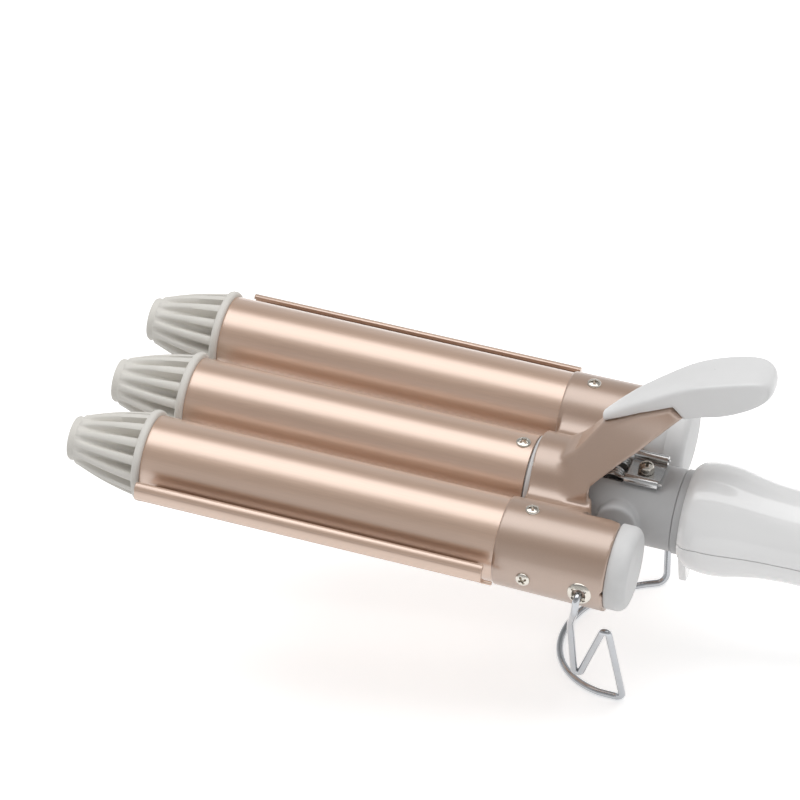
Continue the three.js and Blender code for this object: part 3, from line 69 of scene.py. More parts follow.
towards_camera = Vector((
    sin(VIEW_AZIMUTH) * cos(VIEW_ELEVATION),
    -cos(VIEW_AZIMUTH) * cos(VIEW_ELEVATION),
    sin(VIEW_ELEVATION),
))
level_right = Vector((cos(VIEW_AZIMUTH), sin(VIEW_AZIMUTH), 0))
level_up = towards_camera.cross(level_right)
camera_right = level_right * cos(VIEW_ROLL) + level_up * sin(VIEW_ROLL)
camera_up = level_up * cos(VIEW_ROLL) - level_right * sin(VIEW_ROLL)
pitch_turn = Matrix.Rotation(REST_PITCH, 3, "Y")
camera_axes = Matrix([pitch_turn @ axis for axis in (camera_right, camera_up, towards_camera)]).transposed()

lens = bpy.data.cameras.new("camera")
lens.sensor_fit = "HORIZONTAL"
lens.sensor_width = SENSOR_WIDTH
lens.lens = SENSOR_WIDTH * LENS_TO_FRAME
lens.clip_start = 0.05
lens.clip_end = 50
camera = bpy.data.objects.new("camera", lens)
bpy.context.scene.collection.objects.link(camera)
camera_place = level_to_table @ (VIEW_CENTRE + VIEW_DISTANCE * towards_camera)
camera.matrix_world = Matrix.Translation(camera_place) @ camera_axes.to_4x4()
bpy.context.scene.camera = camera
bpy.context.scene.view_settings.view_transform = "Standard"


# Floor, lamp and world: a pale floor under one oblong soft lamp that faces straight down, in a dim room.
# A colour renders about as it is written, and the floor shows white where no shadow falls.

class Channel:
    """A value or a colour on its way through the nodes of a finish."""

    def __init__(self, tree, socket):
        self.tree = tree
        self.socket = socket

    def math(self, operation, first, second):
        """Joins two values or channels by one step of arithmetic."""
        node = self.tree.nodes.new("ShaderNodeMath")
        node.operation = operation
        for place, value in enumerate((first, second)):
            if isinstance(value, Channel):
                self.tree.links.new(value.socket, node.inputs[place])
            else:
                node.inputs[place].default_value = value
        return Channel(self.tree, node.outputs[0])

    def __add__(self, other):
        return self.math("ADD", self, other)

    def __radd__(self, other):
        return self.math("ADD", other, self)

    def __mul__(self, other):
        return self.math("MULTIPLY", self, other)

    def __rmul__(self, other):
        return self.math("MULTIPLY", other, self)


def linear(colour):
    """The render's own value of a colour written as it looks on a screen."""
    return [share / 12.92 if share <= 0.04045 else ((share + 0.055) / 1.055) ** 2.4 for share in colour]


class Finish:
    """A material being mixed: its shader and the nodes that vary it over a surface."""

    def __init__(self, name, colour=(0.8, 0.8, 0.8), **fixed):
        self.material = bpy.data.materials.new(name)
        self.material.use_nodes = True
        self.tree = self.material.node_tree
        self.shader = self.tree.nodes["Principled BSDF"]
        self.colour = linear(colour)
        self.set(Base_Color=(*self.colour, 1), **fixed)

    def set(self, **values):
        """Gives the shader's sockets their values or links."""
        for name, value in values.items():
            socket = self.shader.inputs[name.replace("_", " ")]
            if isinstance(value, Channel):
                self.tree.links.new(value.socket, socket)
            else:
                socket.default_value = value

    def node(self, kind, settings=None, inputs=None, output=0):
        """Adds a node, sets it, then gives its sockets their values or links."""
        node = self.tree.nodes.new(kind)
        for name, value in (settings or {}).items():
            setattr(node, name, value)
        for name, value in (inputs or {}).items():
            if isinstance(value, Channel):
                self.tree.links.new(value.socket, node.inputs[name])
            else:
                node.inputs[name].default_value = value
        return Channel(self.tree, node.outputs[output])

    def level_place(self, stretch=(1, 1, 1)):
        """Place on the level tool, stretched along its axes."""
        place = self.node("ShaderNodeTexCoord", output="Object")
        turn = {"Vector": place, "Angle": -REST_PITCH}
        turned_back = self.node("ShaderNodeVectorRotate", {"rotation_type": "Y_AXIS"}, turn)
        return self.node("ShaderNodeVectorMath", {"operation": "MULTIPLY"}, {0: turned_back, 1: stretch})

    def noise(self, scale, detail=3, stretch=(1, 1, 1)):
        """A cloudy pattern that stays with the level tool, from 0 to 1."""
        sockets = {"Vector": self.level_place(stretch), "Scale": scale, "Detail": detail}
        return self.node("ShaderNodeTexNoise", inputs=sockets)

    def shades(self, share, darker, lighter):
        """The finish's own colour, from darker to lighter by a share from 0 to 1."""
        ends = [(*[channel * level for channel in self.colour], 1) for level in (darker, lighter)]
        return self.node("ShaderNodeMix", {"data_type": "RGBA"}, {0: share, 6: ends[0], 7: ends[1]}, output=2)

    def bump(self, height, strength, distance):
        """A relief that only bends the light."""
        sockets = {"Height": height, "Strength": strength, "Distance": distance}
        return self.node("ShaderNodeBump", inputs=sockets)


FLOOR_SIZE = 12
LAMP_LENGTH = 2.6
LAMP_WIDTH = 1.15
LAMP_PLACE = (0.1, 0.12, 1.5)
LAMP_POWER = 16.5
ROOM_LEVEL = 0.54
FLOOR_GLOW = 0.52
ROOM_SHADES = [(0, 1.15), (0.42, 1.1), (0.6, 0.6), (0.8, 0.55), (0.9, 1.0)]

floor_mesh = bpy.data.meshes.new("floor")
floor_corners = [(x * FLOOR_SIZE / 2, y * FLOOR_SIZE / 2, 0) for x, y in ((-1, -1), (1, -1), (1, 1), (-1, 1))]
floor_mesh.from_pydata(floor_corners, [], [(0, 1, 2, 3)])
floor = bpy.data.objects.new("floor", floor_mesh)
bpy.context.scene.collection.objects.link(floor)
paper = Finish("pale paper", (0.955, 0.955, 0.955), Roughness=0.9, Specular_IOR_Level=0.1)
seen = paper.node("ShaderNodeLightPath", output="Is Camera Ray")
mirrored = paper.node("ShaderNodeLightPath", output="Is Glossy Ray")
through = paper.node("ShaderNodeLightPath", output="Is Transmission Ray")
glow = paper.node("ShaderNodeEmission", inputs={"Strength": (seen + mirrored + through) * FLOOR_GLOW})
both = paper.tree.nodes.new("ShaderNodeAddShader")
paper.tree.links.new(paper.shader.outputs[0], both.inputs[0])
paper.tree.links.new(glow.socket, both.inputs[1])
paper.tree.links.new(both.outputs[0], paper.tree.nodes["Material Output"].inputs["Surface"])
floor_mesh.materials.append(paper.material)

world = bpy.data.worlds.new("room")
bpy.context.scene.world = world
world.use_nodes = True
sky = world.node_tree.nodes
direction = sky.new("ShaderNodeTexCoord")
parts = sky.new("ShaderNodeSeparateXYZ")
heights = sky.new("ShaderNodeValToRGB")
world.node_tree.links.new(direction.outputs["Generated"], parts.inputs[0])
world.node_tree.links.new(parts.outputs["Z"], heights.inputs[0])
world.node_tree.links.new(heights.outputs["Color"], sky["Background"].inputs["Color"])
while len(heights.color_ramp.elements) < len(ROOM_SHADES):
    heights.color_ramp.elements.new(0.5)
for element, (height, shade) in zip(heights.color_ramp.elements, ROOM_SHADES):
    element.position = height
    element.color = (shade, shade, shade, 1)
sky["Background"].inputs["Strength"].default_value = ROOM_LEVEL

light = bpy.data.lights.new("overhead lamp", "AREA")
light.shape = "RECTANGLE"
light.size = LAMP_LENGTH
light.size_y = LAMP_WIDTH
light.energy = LAMP_POWER
lamp = bpy.data.objects.new("overhead lamp", light)
bpy.context.scene.collection.objects.link(lamp)
lamp.location = LAMP_PLACE


# Barrels: three drawn aluminium tubes, anodised rose gold and brushed lengthwise to a satin.
# The outer two end in the bridge's sleeves, the middle one on its carrier on the neck.

BARREL_RADIUS = 12.5
BARREL_SPACING = 32.35
BARREL_FRONT = -108
BARREL_REAR = 1.5
BARREL_WALL = 1.2
MIDDLE_DROP = 0.8
MIDDLE_FRONT = BARREL_FRONT + 1.2
MIDDLE_REAR = -0.95
SIDES = {"near": -1, "far": 1}

bodies = frame["record"]["behaviour"]["bodies"]
body_of = {node: body for body, nodes in bodies.items() for node in nodes}


def level_mesh(name, points, faces):
    """A mesh drawn on the level tool, its faces turned outwards."""
    mesh = bpy.data.meshes.new(name)
    mesh.from_pydata([level_to_table @ Vector(point) for point in points], [], faces)
    mesh.validate()
    tidy = bmesh.new()
    tidy.from_mesh(mesh)
    bmesh.ops.remove_doubles(tidy, verts=tidy.verts, dist=1e-7)
    bmesh.ops.recalc_face_normals(tidy, faces=tidy.faces)
    tidy.to_mesh(mesh)
    tidy.free()
    return mesh


def smooth(mesh, sharp):
    """Shades a mesh smooth, apart from edges over an angle in degrees."""
    mesh.shade_smooth()
    mesh.set_sharp_from_angle(angle=radians(sharp))


def piece(name, points, faces, finish, *nodes, sharp=30):
    """A mesh that stands for CAD nodes and rides on their body."""
    mesh = level_mesh(name, points, faces)
    smooth(mesh, sharp)
    mesh.materials.append(finish.material)
    made = bpy.data.objects.new(name, mesh)
    bpy.context.scene.collection.objects.link(made)
    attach(made, body_of[nodes[0]])
    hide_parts(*nodes)
    return made


def eased(outline, radius, steps=3):
    """A closed outline with its corners rounded, one radius for all or one for each corner."""
    corners = [Vector(point) for point in outline]
    radii = radius if isinstance(radius, (list, tuple)) else [radius] * len(corners)
    rounded = []
    for place, corner_point in enumerate(corners):
        to_last = corners[place - 1] - corner_point
        to_next = corners[(place + 1) % len(corners)] - corner_point
        if radii[place] == 0:
            rounded.append(tuple(corner_point))
            continue
        reach = min(radii[place], to_last.length * 0.45, to_next.length * 0.45)
        start = corner_point + to_last.normalized() * reach
        end = corner_point + to_next.normalized() * reach
        for step in range(steps + 1):
            share = step / steps
            bend = start.lerp(corner_point, share).lerp(corner_point.lerp(end, share), share)
            rounded.append(tuple(bend))
    return rounded


def ring_faces(count, rings, closed=False):
    """Faces between rings of points that follow each other, closed where the last one meets the first."""
    total = count * rings
    faces = []
    for here in range(0, total if closed else total - count, count):
        there = (here + count) % total
        for step in range(count):
            following = (step + 1) % count
            faces.append((here + step, here + following, there + following, there + step))
    return faces


def capped(points, count):
    """Rings of points with the faces between them and over both ends."""
    ends = [list(range(count))[::-1], list(range(len(points) - count, len(points)))]
    return points, ends + ring_faces(count, len(points) // count)


def turned(outline, y=0, z=0, sides=96):
    """Points and faces of a closed outline (X, radius) turned about a line along X."""
    points = []
    for side in range(sides):
        angle = 2 * pi * side / sides
        points += [(x, y + radius * cos(angle), z + radius * sin(angle)) for x, radius in outline]
    return points, ring_faces(len(outline), sides, closed=True)


rose_gold = Finish(
    "rose gold satin", (0.81, 0.67, 0.57), Metallic=0.4, Coat_Weight=1.0, Coat_Roughness=0.27, Coat_IOR=2.5
)
streaks = rose_gold.noise(2600, 4, (0.035, 1, 1))
clouds = rose_gold.noise(70, 2, (0.3, 1, 1))
grain = rose_gold.noise(5200, 2, (0.5, 1, 1))
rose_gold.set(
    Base_Color=rose_gold.shades(0.65 * streaks + 0.35 * clouds, 0.86, 1.12),
    Roughness=0.25 + 0.14 * streaks + 0.06 * clouds,
    Normal=rose_gold.bump(0.6 * streaks + 0.4 * grain, 0.25, 0.00004),
)


def tube(front, rear, y, z):
    """A barrel: a tube with eased ends."""
    section = [(front, BARREL_RADIUS), (rear, BARREL_RADIUS)]
    section += [(rear, BARREL_RADIUS - BARREL_WALL), (front, BARREL_RADIUS - BARREL_WALL)]
    return turned(eased(section, 0.3), y, z, 128)


for name, side in SIDES.items():
    shape = tube(BARREL_FRONT, BARREL_REAR, side * BARREL_SPACING, 0)
    piece(name + "_barrel_tube", *shape, rose_gold, name + "_barrel")
piece("middle_barrel_tube", *tube(MIDDLE_FRONT, MIDDLE_REAR, 0, -MIDDLE_DROP), rose_gold, "middle_barrel")


# Rails: a strip of the same rose gold aluminium folded to a channel beside each outer barrel.
# Its rear lip reaches under the sleeve's edge. A floor joins it to the barrel, dark brown as painted shade for the
# shadow in the gap between them.

RAIL_FRONT = BARREL_FRONT + 1.5
RAIL_REAR = -1
RAIL_INNER = 16.5
RAIL_OUTER = 20.1
RAIL_TOP = 4.15
RAIL_LOW = -3.4
RAIL_SHEET = 1.1
RAIL_LIP = 2.6
FLOOR_SETBACK = 2.5

# Painted shade: a dark brown that stands in for the shadow in the gap between barrel and rail.
painted_shade = Finish("scorched inner face", (0.33, 0.24, 0.185), Specular_IOR_Level=0.3)
painted_shade.set(
    Base_Color=painted_shade.shades(painted_shade.noise(900, 3, (0.1, 1, 1)), 0.85, 1.1),
    Roughness=0.55 + 0.15 * painted_shade.noise(600),
)


def strip(section, front, rear, edge=0.2):
    """Points and faces of a closed section (Y, Z) drawn along X, its ends drawn in a little."""
    count = len(section)
    middle = Vector((sum(y for y, _ in section) / count, sum(z for _, z in section) / count))
    points = []
    for x, share in ((front, 1), (front + edge, 0), (rear - edge, 0), (rear, 1)):
        for spot in section:
            drawn = Vector(spot) + (middle - Vector(spot)).normalized() * edge * share * 0.6
            points.append((x, drawn.x, drawn.y))
    return capped(points, count)


def together(*parts):
    """One list of points and faces out of several."""
    points = []
    faces = []
    for more_points, more_faces in parts:
        start = len(points)
        points += more_points
        faces += [[index + start for index in face] for face in more_faces]
    return points, faces


def rail_solids(side, sections):
    """Sections (distance from the barrel's axis, Z) beside a barrel, each drawn from front to rear."""
    drawn = []
    for section, front, rear in sections:
        placed = [(side * (BARREL_SPACING + reach), height) for reach, height in section]
        drawn.append(strip(placed, front, rear))
    return together(*drawn)


channel = [
    (RAIL_INNER + 0.9, RAIL_TOP - 1.2),
    (RAIL_INNER + 1.1, RAIL_TOP - 0.3),
    (RAIL_INNER + 1.7, RAIL_TOP),
    (RAIL_OUTER - 1.3, RAIL_TOP - 0.2),
    (RAIL_OUTER - 0.3, RAIL_TOP - 0.85),
    (RAIL_OUTER, RAIL_TOP - 1.35),
    (RAIL_OUTER - 0.25, RAIL_TOP - 1.6),
    (RAIL_OUTER - 0.05, RAIL_TOP - 1.9),
    (RAIL_OUTER, 0),
    (RAIL_OUTER - 0.2, -1),
    (RAIL_OUTER - 1.2, -1.9),
    (RAIL_INNER + 0.6, RAIL_LOW),
    (RAIL_INNER, RAIL_LOW),
    (RAIL_INNER, RAIL_LOW + RAIL_SHEET),
    (RAIL_OUTER - 1.9, -0.9),
    (RAIL_OUTER - RAIL_SHEET, 0),
    (RAIL_OUTER - RAIL_SHEET, RAIL_TOP - 2),
]
lip = [
    (RAIL_INNER + 1.6, RAIL_LOW + 0.7),
    (RAIL_INNER + 0.6, RAIL_LOW),
    (RAIL_INNER, RAIL_LOW),
    (RAIL_INNER, RAIL_LOW + RAIL_SHEET),
    (RAIL_INNER + 1.2, RAIL_LOW + RAIL_SHEET + 0.4),
]
web = [(BARREL_RADIUS - 0.6, RAIL_LOW), (RAIL_INNER + 0.4, RAIL_LOW)]
web += [(reach, RAIL_LOW + RAIL_SHEET) for reach, _ in web[::-1]]
strips = [(channel, RAIL_FRONT, RAIL_REAR), (eased(lip, 0.2, 1), RAIL_REAR - 1, RAIL_REAR + RAIL_LIP)]
rail_floor = [(web, RAIL_FRONT + FLOOR_SETBACK, RAIL_REAR - 3)]
for name, side in SIDES.items():
    piece(name + "_folded_rail", *rail_solids(side, strips), rose_gold, name + "_rail", sharp=40)
    piece(name + "_rail_web", *rail_solids(side, rail_floor), painted_shade, name + "_rail", sharp=40)


# Basket tips: heat-resistant grey plastic, moulded with fourteen ribs from a ring to a flared nose.
# The grooves between the ribs deepen towards the ring and end there in dark pockets.

RING_RADIUS = 13.82
RING_WIDTH = 2.35
TIP_LENGTH = 22.95
NOSE_RADIUS = 6.7
SHOULDER_RADIUS = 12.75
SPIGOT_RADIUS = 11.1
SPIGOT_LENGTH = 6
RIBS = 14
RIB_STEPS = 18
FIRST_RIB = {"near": 0.95, "far": 0.05, "middle": 0.13}

tip_grey = Finish("warm grey moulding", (0.885, 0.873, 0.848), Specular_IOR_Level=0.35)
tip_grain = tip_grey.noise(2400, 3)
tip_clouds = tip_grey.noise(160, 2)
tip_grey.set(
    Base_Color=tip_grey.shades(0.5 * tip_grain + 0.5 * tip_clouds, 0.9, 1.08),
    Roughness=0.52 + 0.14 * tip_grain,
    Normal=tip_grey.bump(tip_grain, 0.3, 0.00005),
)


def tip_sector(share, radius):
    """Angle and radius of the points of one rib and one groove, from nose (share 0) to ring (share 1)."""
    pitch = 2 * pi / RIBS
    rib_half = (0.8 + 0.55 * share) / radius
    deep = 4.6 * max(0, share - 0.02) ** 0.85
    wall = 0.22 / radius + 0.35 * (pitch / 2 - rib_half) * (1 - share)
    crown = 0.45 * min(1, 6 * share)
    sector = []
    for turn in (-1, -0.6, 0, 0.6, 1):
        sector.append((rib_half * turn, radius - crown * abs(turn) ** 2.5))
    inside_from = rib_half + wall
    sector.append((rib_half + wall * 0.4, radius - crown - 0.55 * deep))
    for turn in (0, 0.25, 0.5, 0.75, 1):
        angle = inside_from + (pitch - 2 * inside_from) * turn
        sector.append((angle, radius - crown - deep * (0.93 + 0.07 * sin(pi * turn))))
    sector.append((pitch - rib_half - wall * 0.4, radius - crown - 0.55 * deep))
    return sector


def basket(barrel_front, y, z, first_rib):
    """One tip: rings of points from the nose's middle, over the ribs and the ring, to the spigot."""
    back = barrel_front
    ring_front = back - RING_WIDTH
    nose = ring_front - TIP_LENGTH
    ribs_from = nose + 2.6
    front = [(0.35, 0.01), (0.3, NOSE_RADIUS - 2.2), (0, NOSE_RADIUS - 1.1), (0.15, NOSE_RADIUS - 0.3)]
    front += [(0.7, NOSE_RADIUS), (1.5, NOSE_RADIUS - 0.12), (2.3, NOSE_RADIUS + 0.08)]
    stations = [(nose + behind, radius, None) for behind, radius in front]
    for step in range(RIB_STEPS + 1):
        share = step / RIB_STEPS
        x = ribs_from + (ring_front - ribs_from) * share
        run = (x - nose) / TIP_LENGTH
        radius = NOSE_RADIUS + (SHOULDER_RADIUS - NOSE_RADIUS) * run + 0.75 * sin(pi * run) - 0.25 * (1 - run)
        stations.append((x, radius, share))
    rear = [(ring_front, RING_RADIUS - 0.8), (ring_front + 0.25, RING_RADIUS - 0.2)]
    rear += [(ring_front + 0.8, RING_RADIUS), (back - 0.8, RING_RADIUS)]
    rear += [(back - 0.2, RING_RADIUS - 0.25), (back, RING_RADIUS - 0.8), (back, SPIGOT_RADIUS)]
    rear += [(back + SPIGOT_LENGTH, SPIGOT_RADIUS), (back + SPIGOT_LENGTH, 0.01)]
    stations += [(x, radius, None) for x, radius in rear]
    points = []
    for x, radius, share in stations:
        for rib in range(RIBS):
            for angle, reach in tip_sector(share or 0, radius):
                around = angle + 2 * pi * (rib + first_rib) / RIBS
                length = radius if share is None else reach
                points.append((x, y + length * cos(around), z + length * sin(around)))
    return points, ring_faces(len(points) // len(stations), len(stations))


for name, side in SIDES.items():
    shape = basket(BARREL_FRONT, side * BARREL_SPACING, 0, FIRST_RIB[name])
    piece(name + "_basket_tip", *shape, tip_grey, name + "_tip", sharp=50)
shape = basket(MIDDLE_FRONT, 0, -MIDDLE_DROP, FIRST_RIB["middle"])
piece("middle_basket_tip", *shape, tip_grey, "middle_tip", sharp=50)


# Bridge: one casting in bronze paint, two sleeves on the outer barrels and a saddle over the middle one,
# joined by round valleys, with a hollow arm that rises to the thumb pad.

SLEEVE_RADIUS = 13.05
SLEEVE_BORE = 11.5
SLEEVE_LENGTH = 33
SADDLE_RADIUS = 14.4
SADDLE_BORE = 13.5
SADDLE_FRONT = 1.6
SADDLE_REAR = 19.4
SADDLE_LOW = 1.5
NOTCH_TOP = 5
NOTCH_FRONT = 22
DRAIN_RADIUS = 0.9
ARM_RIDGE = [(8.2, 12), (9.4, 13.9), (12, 16), (14.5, 19.3), (16.8, 22.9)]
ARM_SEAM = [(19, 26.2), (30.2, 34.5), (39.2, 40)]
ARM_END = (43.3, 37.7)
ARM_LOWER = [(37.3, 30.1), (32, 23.8), (25.4, 17.3), (SADDLE_REAR, 10.6)]
ARM_WALL = 1.6
CASTING_STEP = 0.55

bronze = Finish(
    "bronze paint", (0.68, 0.555, 0.465), Metallic=0.35, Coat_Weight=1.0, Coat_Roughness=0.31, Coat_IOR=2.3
)
flakes = bronze.noise(4200, 2)
drift = bronze.noise(90, 3)
bronze.set(
    Base_Color=bronze.shades(0.7 * flakes + 0.3 * drift, 0.8, 1.14),
    Roughness=0.36 + 0.16 * flakes,
    Normal=bronze.bump(flakes, 0.35, 0.00004),
)


def between(value, low, high):
    """Below 0 where a place lies between two planes."""
    return np.maximum(low - value, value - high)


def joined(first, second, fillet):
    """Both solids together, with a fillet where they meet."""
    share = np.clip(0.5 + 0.5 * (second - first) / fillet, 0, 1)
    return second + (first - second) * share - fillet * share * (1 - share)


def shared(first, second, edge):
    """What lies in both solids, with its edges rounded."""
    return -joined(-first, -second, edge)


def side_distance(outline, u, v):
    """Distance to a closed outline in a plane, below 0 inside."""
    corners = np.array(outline, dtype=float)
    u, v = np.broadcast_arrays(u, v)
    least = np.full(u.shape, np.inf)
    inside = np.zeros(u.shape, dtype=bool)
    for start, end in zip(corners, np.roll(corners, -1, axis=0)):
        edge_u, edge_v = end - start
        from_u = u - start[0]
        from_v = v - start[1]
        share = np.clip((from_u * edge_u + from_v * edge_v) / (edge_u ** 2 + edge_v ** 2), 0, 1)
        least = np.minimum(least, (from_u - edge_u * share) ** 2 + (from_v - edge_v * share) ** 2)
        crosses = (start[1] > v) != (end[1] > v)
        if edge_v != 0:
            inside ^= crosses & (u < start[0] + (v - start[1]) * edge_u / edge_v)
    return np.where(inside, -1, 1) * np.sqrt(least)


def moulded(shape, low, high, step):
    """Points and faces of the solid where shape(x, y, z) is below 0, from a grid of that step."""
    rows = [np.arange(a - 2 * step, b + 3 * step, step) for a, b in zip(low, high)]
    grid = np.meshgrid(*rows, indexing="ij", sparse=True)
    value = np.broadcast_to(shape(*grid), [len(row) for row in rows])
    inside = value < 0
    corner_steps = [(i, j, k) for i in (0, 1) for j in (0, 1) for k in (0, 1)]
    size = [len(row) - 1 for row in rows]

    def at_corner(table, offset):
        return table[tuple(slice(o, o + n) for o, n in zip(offset, size))]

    filled = sum(at_corner(inside, offset).astype(np.int8) for offset in corner_steps)
    cells = (filled > 0) & (filled < 8)
    number = np.full(cells.shape, -1)
    number[cells] = np.arange(cells.sum())
    places = np.argwhere(cells)
    corners = np.stack([at_corner(value, offset)[cells] for offset in corner_steps])
    total = np.zeros((len(places), 3))
    hits = np.zeros((len(places), 1))
    for first in range(8):
        for second in range(first + 1, 8):
            start = np.array(corner_steps[first])
            end = np.array(corner_steps[second])
            if abs(end - start).sum() != 1:
                continue
            crossed = (corners[first] < 0) != (corners[second] < 0)
            share = corners[first] / np.where(crossed, corners[first] - corners[second], 1)
            spot = start + share[:, None] * (end - start)
            total += np.where(crossed[:, None], spot, 0)
            hits += crossed[:, None]
    points = np.array([row[0] for row in rows]) + (places + total / hits) * step

    def level(p):
        return shape(p[:, 0], p[:, 1], p[:, 2])

    for _ in range(3):
        here = level(points)
        shifts = 0.05 * np.eye(3)
        slope = np.stack([(level(points + shift) - level(points - shift)) / 0.1 for shift in shifts], axis=1)
        move = -here[:, None] * slope / np.maximum((slope ** 2).sum(1, keepdims=True), 0.05)
        points = points + np.clip(move, -0.5 * step, 0.5 * step)

    faces = []
    for axis in range(3):
        one = [0, 0, 0]
        one[axis] = 1
        before = inside[tuple(slice(0, -1) if a == axis else slice(1, -1) for a in range(3))]
        after = inside[tuple(slice(1, None) if a == axis else slice(1, -1) for a in range(3))]
        for way in (0, 1):
            found = np.argwhere(before & ~after if way == 0 else ~before & after)
            if not len(found):
                continue
            others = [a for a in range(3) if a != axis]
            ring = []
            for shift in ((0, 0), (1, 0), (1, 1), (0, 1)):
                cell = found.copy()
                cell[:, others[0]] += shift[0]
                cell[:, others[1]] += shift[1]
                ring.append(number[tuple(cell.T)])
            turned_over = (way == 1) != (axis == 1)
            faces += np.stack(ring[::-1] if turned_over else ring, axis=1).tolist()
    return points.tolist(), faces


def arm_half_width(x, z):
    """Half the arm's width at a place in its side view: narrow under the pad's tip, wide at the saddle."""
    start = np.array(ARM_SEAM[0])
    along = np.array(ARM_SEAM[2]) - start
    length = np.linalg.norm(along)
    along = along / length
    share = np.clip(((x - start[0]) * along[0] + (z - start[1]) * along[1]) / length, 0, 1)
    below = np.maximum(0, (x - start[0]) * along[1] - (z - start[1]) * along[0])
    crest = 3 + 4.2 * share
    return np.minimum(crest + (1 - share) * (0.5 * below + 0.025 * below ** 2), 14.6)


def casting(x, y, z):
    """The bridge: sleeves, saddle with its valleys and hollow arm, less bores, notches and drain holes."""
    away = np.abs(y)
    from_sleeve = np.hypot(away - BARREL_SPACING, z)
    flared = SLEEVE_RADIUS + 0.012 * np.clip(x, 0, SLEEVE_LENGTH)
    sleeve = shared(from_sleeve - flared, between(x, 0, SLEEVE_LENGTH), 0.5)
    from_middle = np.hypot(y, z + MIDDLE_DROP)
    rear = SADDLE_REAR + 0.3 * np.clip(away - 10, 0, 9)
    lean = 1.3 * np.clip((z - 2) / 12, 0, 1)
    span = between(x, SADDLE_FRONT - lean, rear)
    saddle = np.maximum(from_middle - SADDLE_RADIUS, -SADDLE_LOW - z)
    web = np.maximum(between(away, 12, 22), between(z, -SADDLE_LOW, 5))
    valleys = joined(joined(saddle, web, 4), from_sleeve - SLEEVE_RADIUS, 5)
    arch = shared(np.maximum(valleys, -SADDLE_LOW - z), span, 0.6)
    arm_side = [(ARM_RIDGE[0][0], -SADDLE_LOW), *ARM_RIDGE, *ARM_SEAM, ARM_END]
    arm_side += [*ARM_LOWER, (SADDLE_REAR, -SADDLE_LOW)]
    flank = (away - arm_half_width(x, z)) * 0.88
    arm = shared(side_distance(arm_side, x, z), flank, 1.2)
    outside = joined(joined(arch, arm, 1.4), sleeve, 0.3)
    hollow_side = [
        (ARM_RIDGE[1][0] + 2.2, 2),
        *[(px + 1.5, pz - 1.2) for px, pz in ARM_RIDGE[1:]],
        *[(px + 0.7, pz - 1.8) for px, pz in ARM_SEAM[:2]],
        (ARM_SEAM[2][0] - 0.5, ARM_SEAM[2][1] - 2.4),
        (ARM_END[0] - 1.3, ARM_END[1] - 2.1),
        (ARM_END[0] + 4, ARM_END[1] - 6),
        (SADDLE_REAR + 12, 2),
    ]
    hollow = np.maximum(side_distance(hollow_side, x, z), away - arm_half_width(x, z) + ARM_WALL)
    solid = shared(outside, -hollow, 0.5)
    solid = np.maximum(solid, SADDLE_BORE - from_middle)
    solid = shared(solid, SLEEVE_BORE - from_sleeve, 0.3)
    towards_neck = BARREL_SPACING - away
    notch_floor = 4.5 - 2.5 * np.clip(x - 26, 0, 1)
    notch_side = np.maximum(between(towards_neck, NOTCH_TOP, 14), between(z, notch_floor, 20))
    rear_corner = 0.35 * np.clip(x - 29, 0, 5) ** 1.6
    notch = np.maximum(notch_side - rear_corner * 0.5, NOTCH_FRONT - x)
    drain_round = np.hypot(x - SLEEVE_LENGTH - 0.3, z + 0.5) - DRAIN_RADIUS
    drain = np.maximum(drain_round, BARREL_SPACING + SLEEVE_BORE + 0.1 - away)
    return shared(shared(solid, -notch, 0.5), -drain, 0.1)


bridge_box = ((-1, -46, -14), (45, 46, 42))
piece("bridge_casting", *moulded(casting, *bridge_box, CASTING_STEP), bronze, "bridge", sharp=60)


# End caps: satin white plastic discs with a wide round rim.
# Each has a spigot that is pushed into the rear of its sleeve.

CAP_LENGTH = 6.1
CAP_EDGE = 2.8
SPIGOT = (SLEEVE_LENGTH - 7, 11.2)

cap_white = Finish("satin white cap", (0.88, 0.88, 0.88), Specular_IOR_Level=0.4)
cap_clouds = cap_white.noise(240, 3)
cap_white.set(
    Base_Color=cap_white.shades(cap_clouds, 0.93, 1.03),
    Roughness=0.38 + 0.14 * cap_clouds,
    Normal=cap_white.bump(cap_white.noise(1800), 0.12, 0.00004),
)


def cap(y):
    """A cap: spigot, a shallow step outside the sleeve, a rim rounded over a quarter turn and a flat end."""
    rear = SLEEVE_LENGTH + CAP_LENGTH
    section = [(SPIGOT[0], 0.01), SPIGOT, (SLEEVE_LENGTH + 0.08, SPIGOT[1])]
    section += [(SLEEVE_LENGTH + 0.08, 12.4), (SLEEVE_LENGTH + 0.3, BARREL_RADIUS)]
    for angle in np.linspace(0, pi / 2, 8):
        section.append((rear - CAP_EDGE + CAP_EDGE * sin(angle), BARREL_RADIUS - CAP_EDGE * (1 - cos(angle))))
    return turned([*section, (rear, 0.01)], y, 0, 96)


for name, side in SIDES.items():
    piece(name + "_sleeve_cap", *cap(side * BARREL_SPACING), cap_white, name + "_end_cap")


# Thumb pad: a glossy white moulding, a paddle that widens to the rear and is dished for the thumb.
# It is clipped over the arm's end, whose bent edge it follows.

PAD_TOP = [(18.4, 28.6), (24, 34), (30, 39.1), (40.7, 47), (47, 50.4), (53, 52.7), (58.5, 54.4), (63, 55)]
PAD_REAR = [(66.3, 54), (67.8, 52), (67.3, 49), (62, 45.5), (55, 42), (48.6, 39.8)]
PAD_HALF_PLAN = [
    (17.5, 0), (17.9, 1.6), (22, 3.4), (30, 5.7), (40, 7.3), (50, 8), (57, 7.9), (62.5, 7.1), (66, 5.3),
    (67.6, 2.6), (67.8, 0),
]
PAD_STEP = 0.5

white_gloss = Finish("white gloss", (0.915, 0.915, 0.915), Coat_Weight=0.3, Coat_Roughness=0.12)
gloss_clouds = white_gloss.noise(120, 3)
white_gloss.set(
    Base_Color=white_gloss.shades(gloss_clouds, 0.97, 1.02),
    Roughness=0.24 + 0.12 * gloss_clouds,
    Normal=white_gloss.bump(white_gloss.noise(500, 2), 0.06, 0.00005),
)


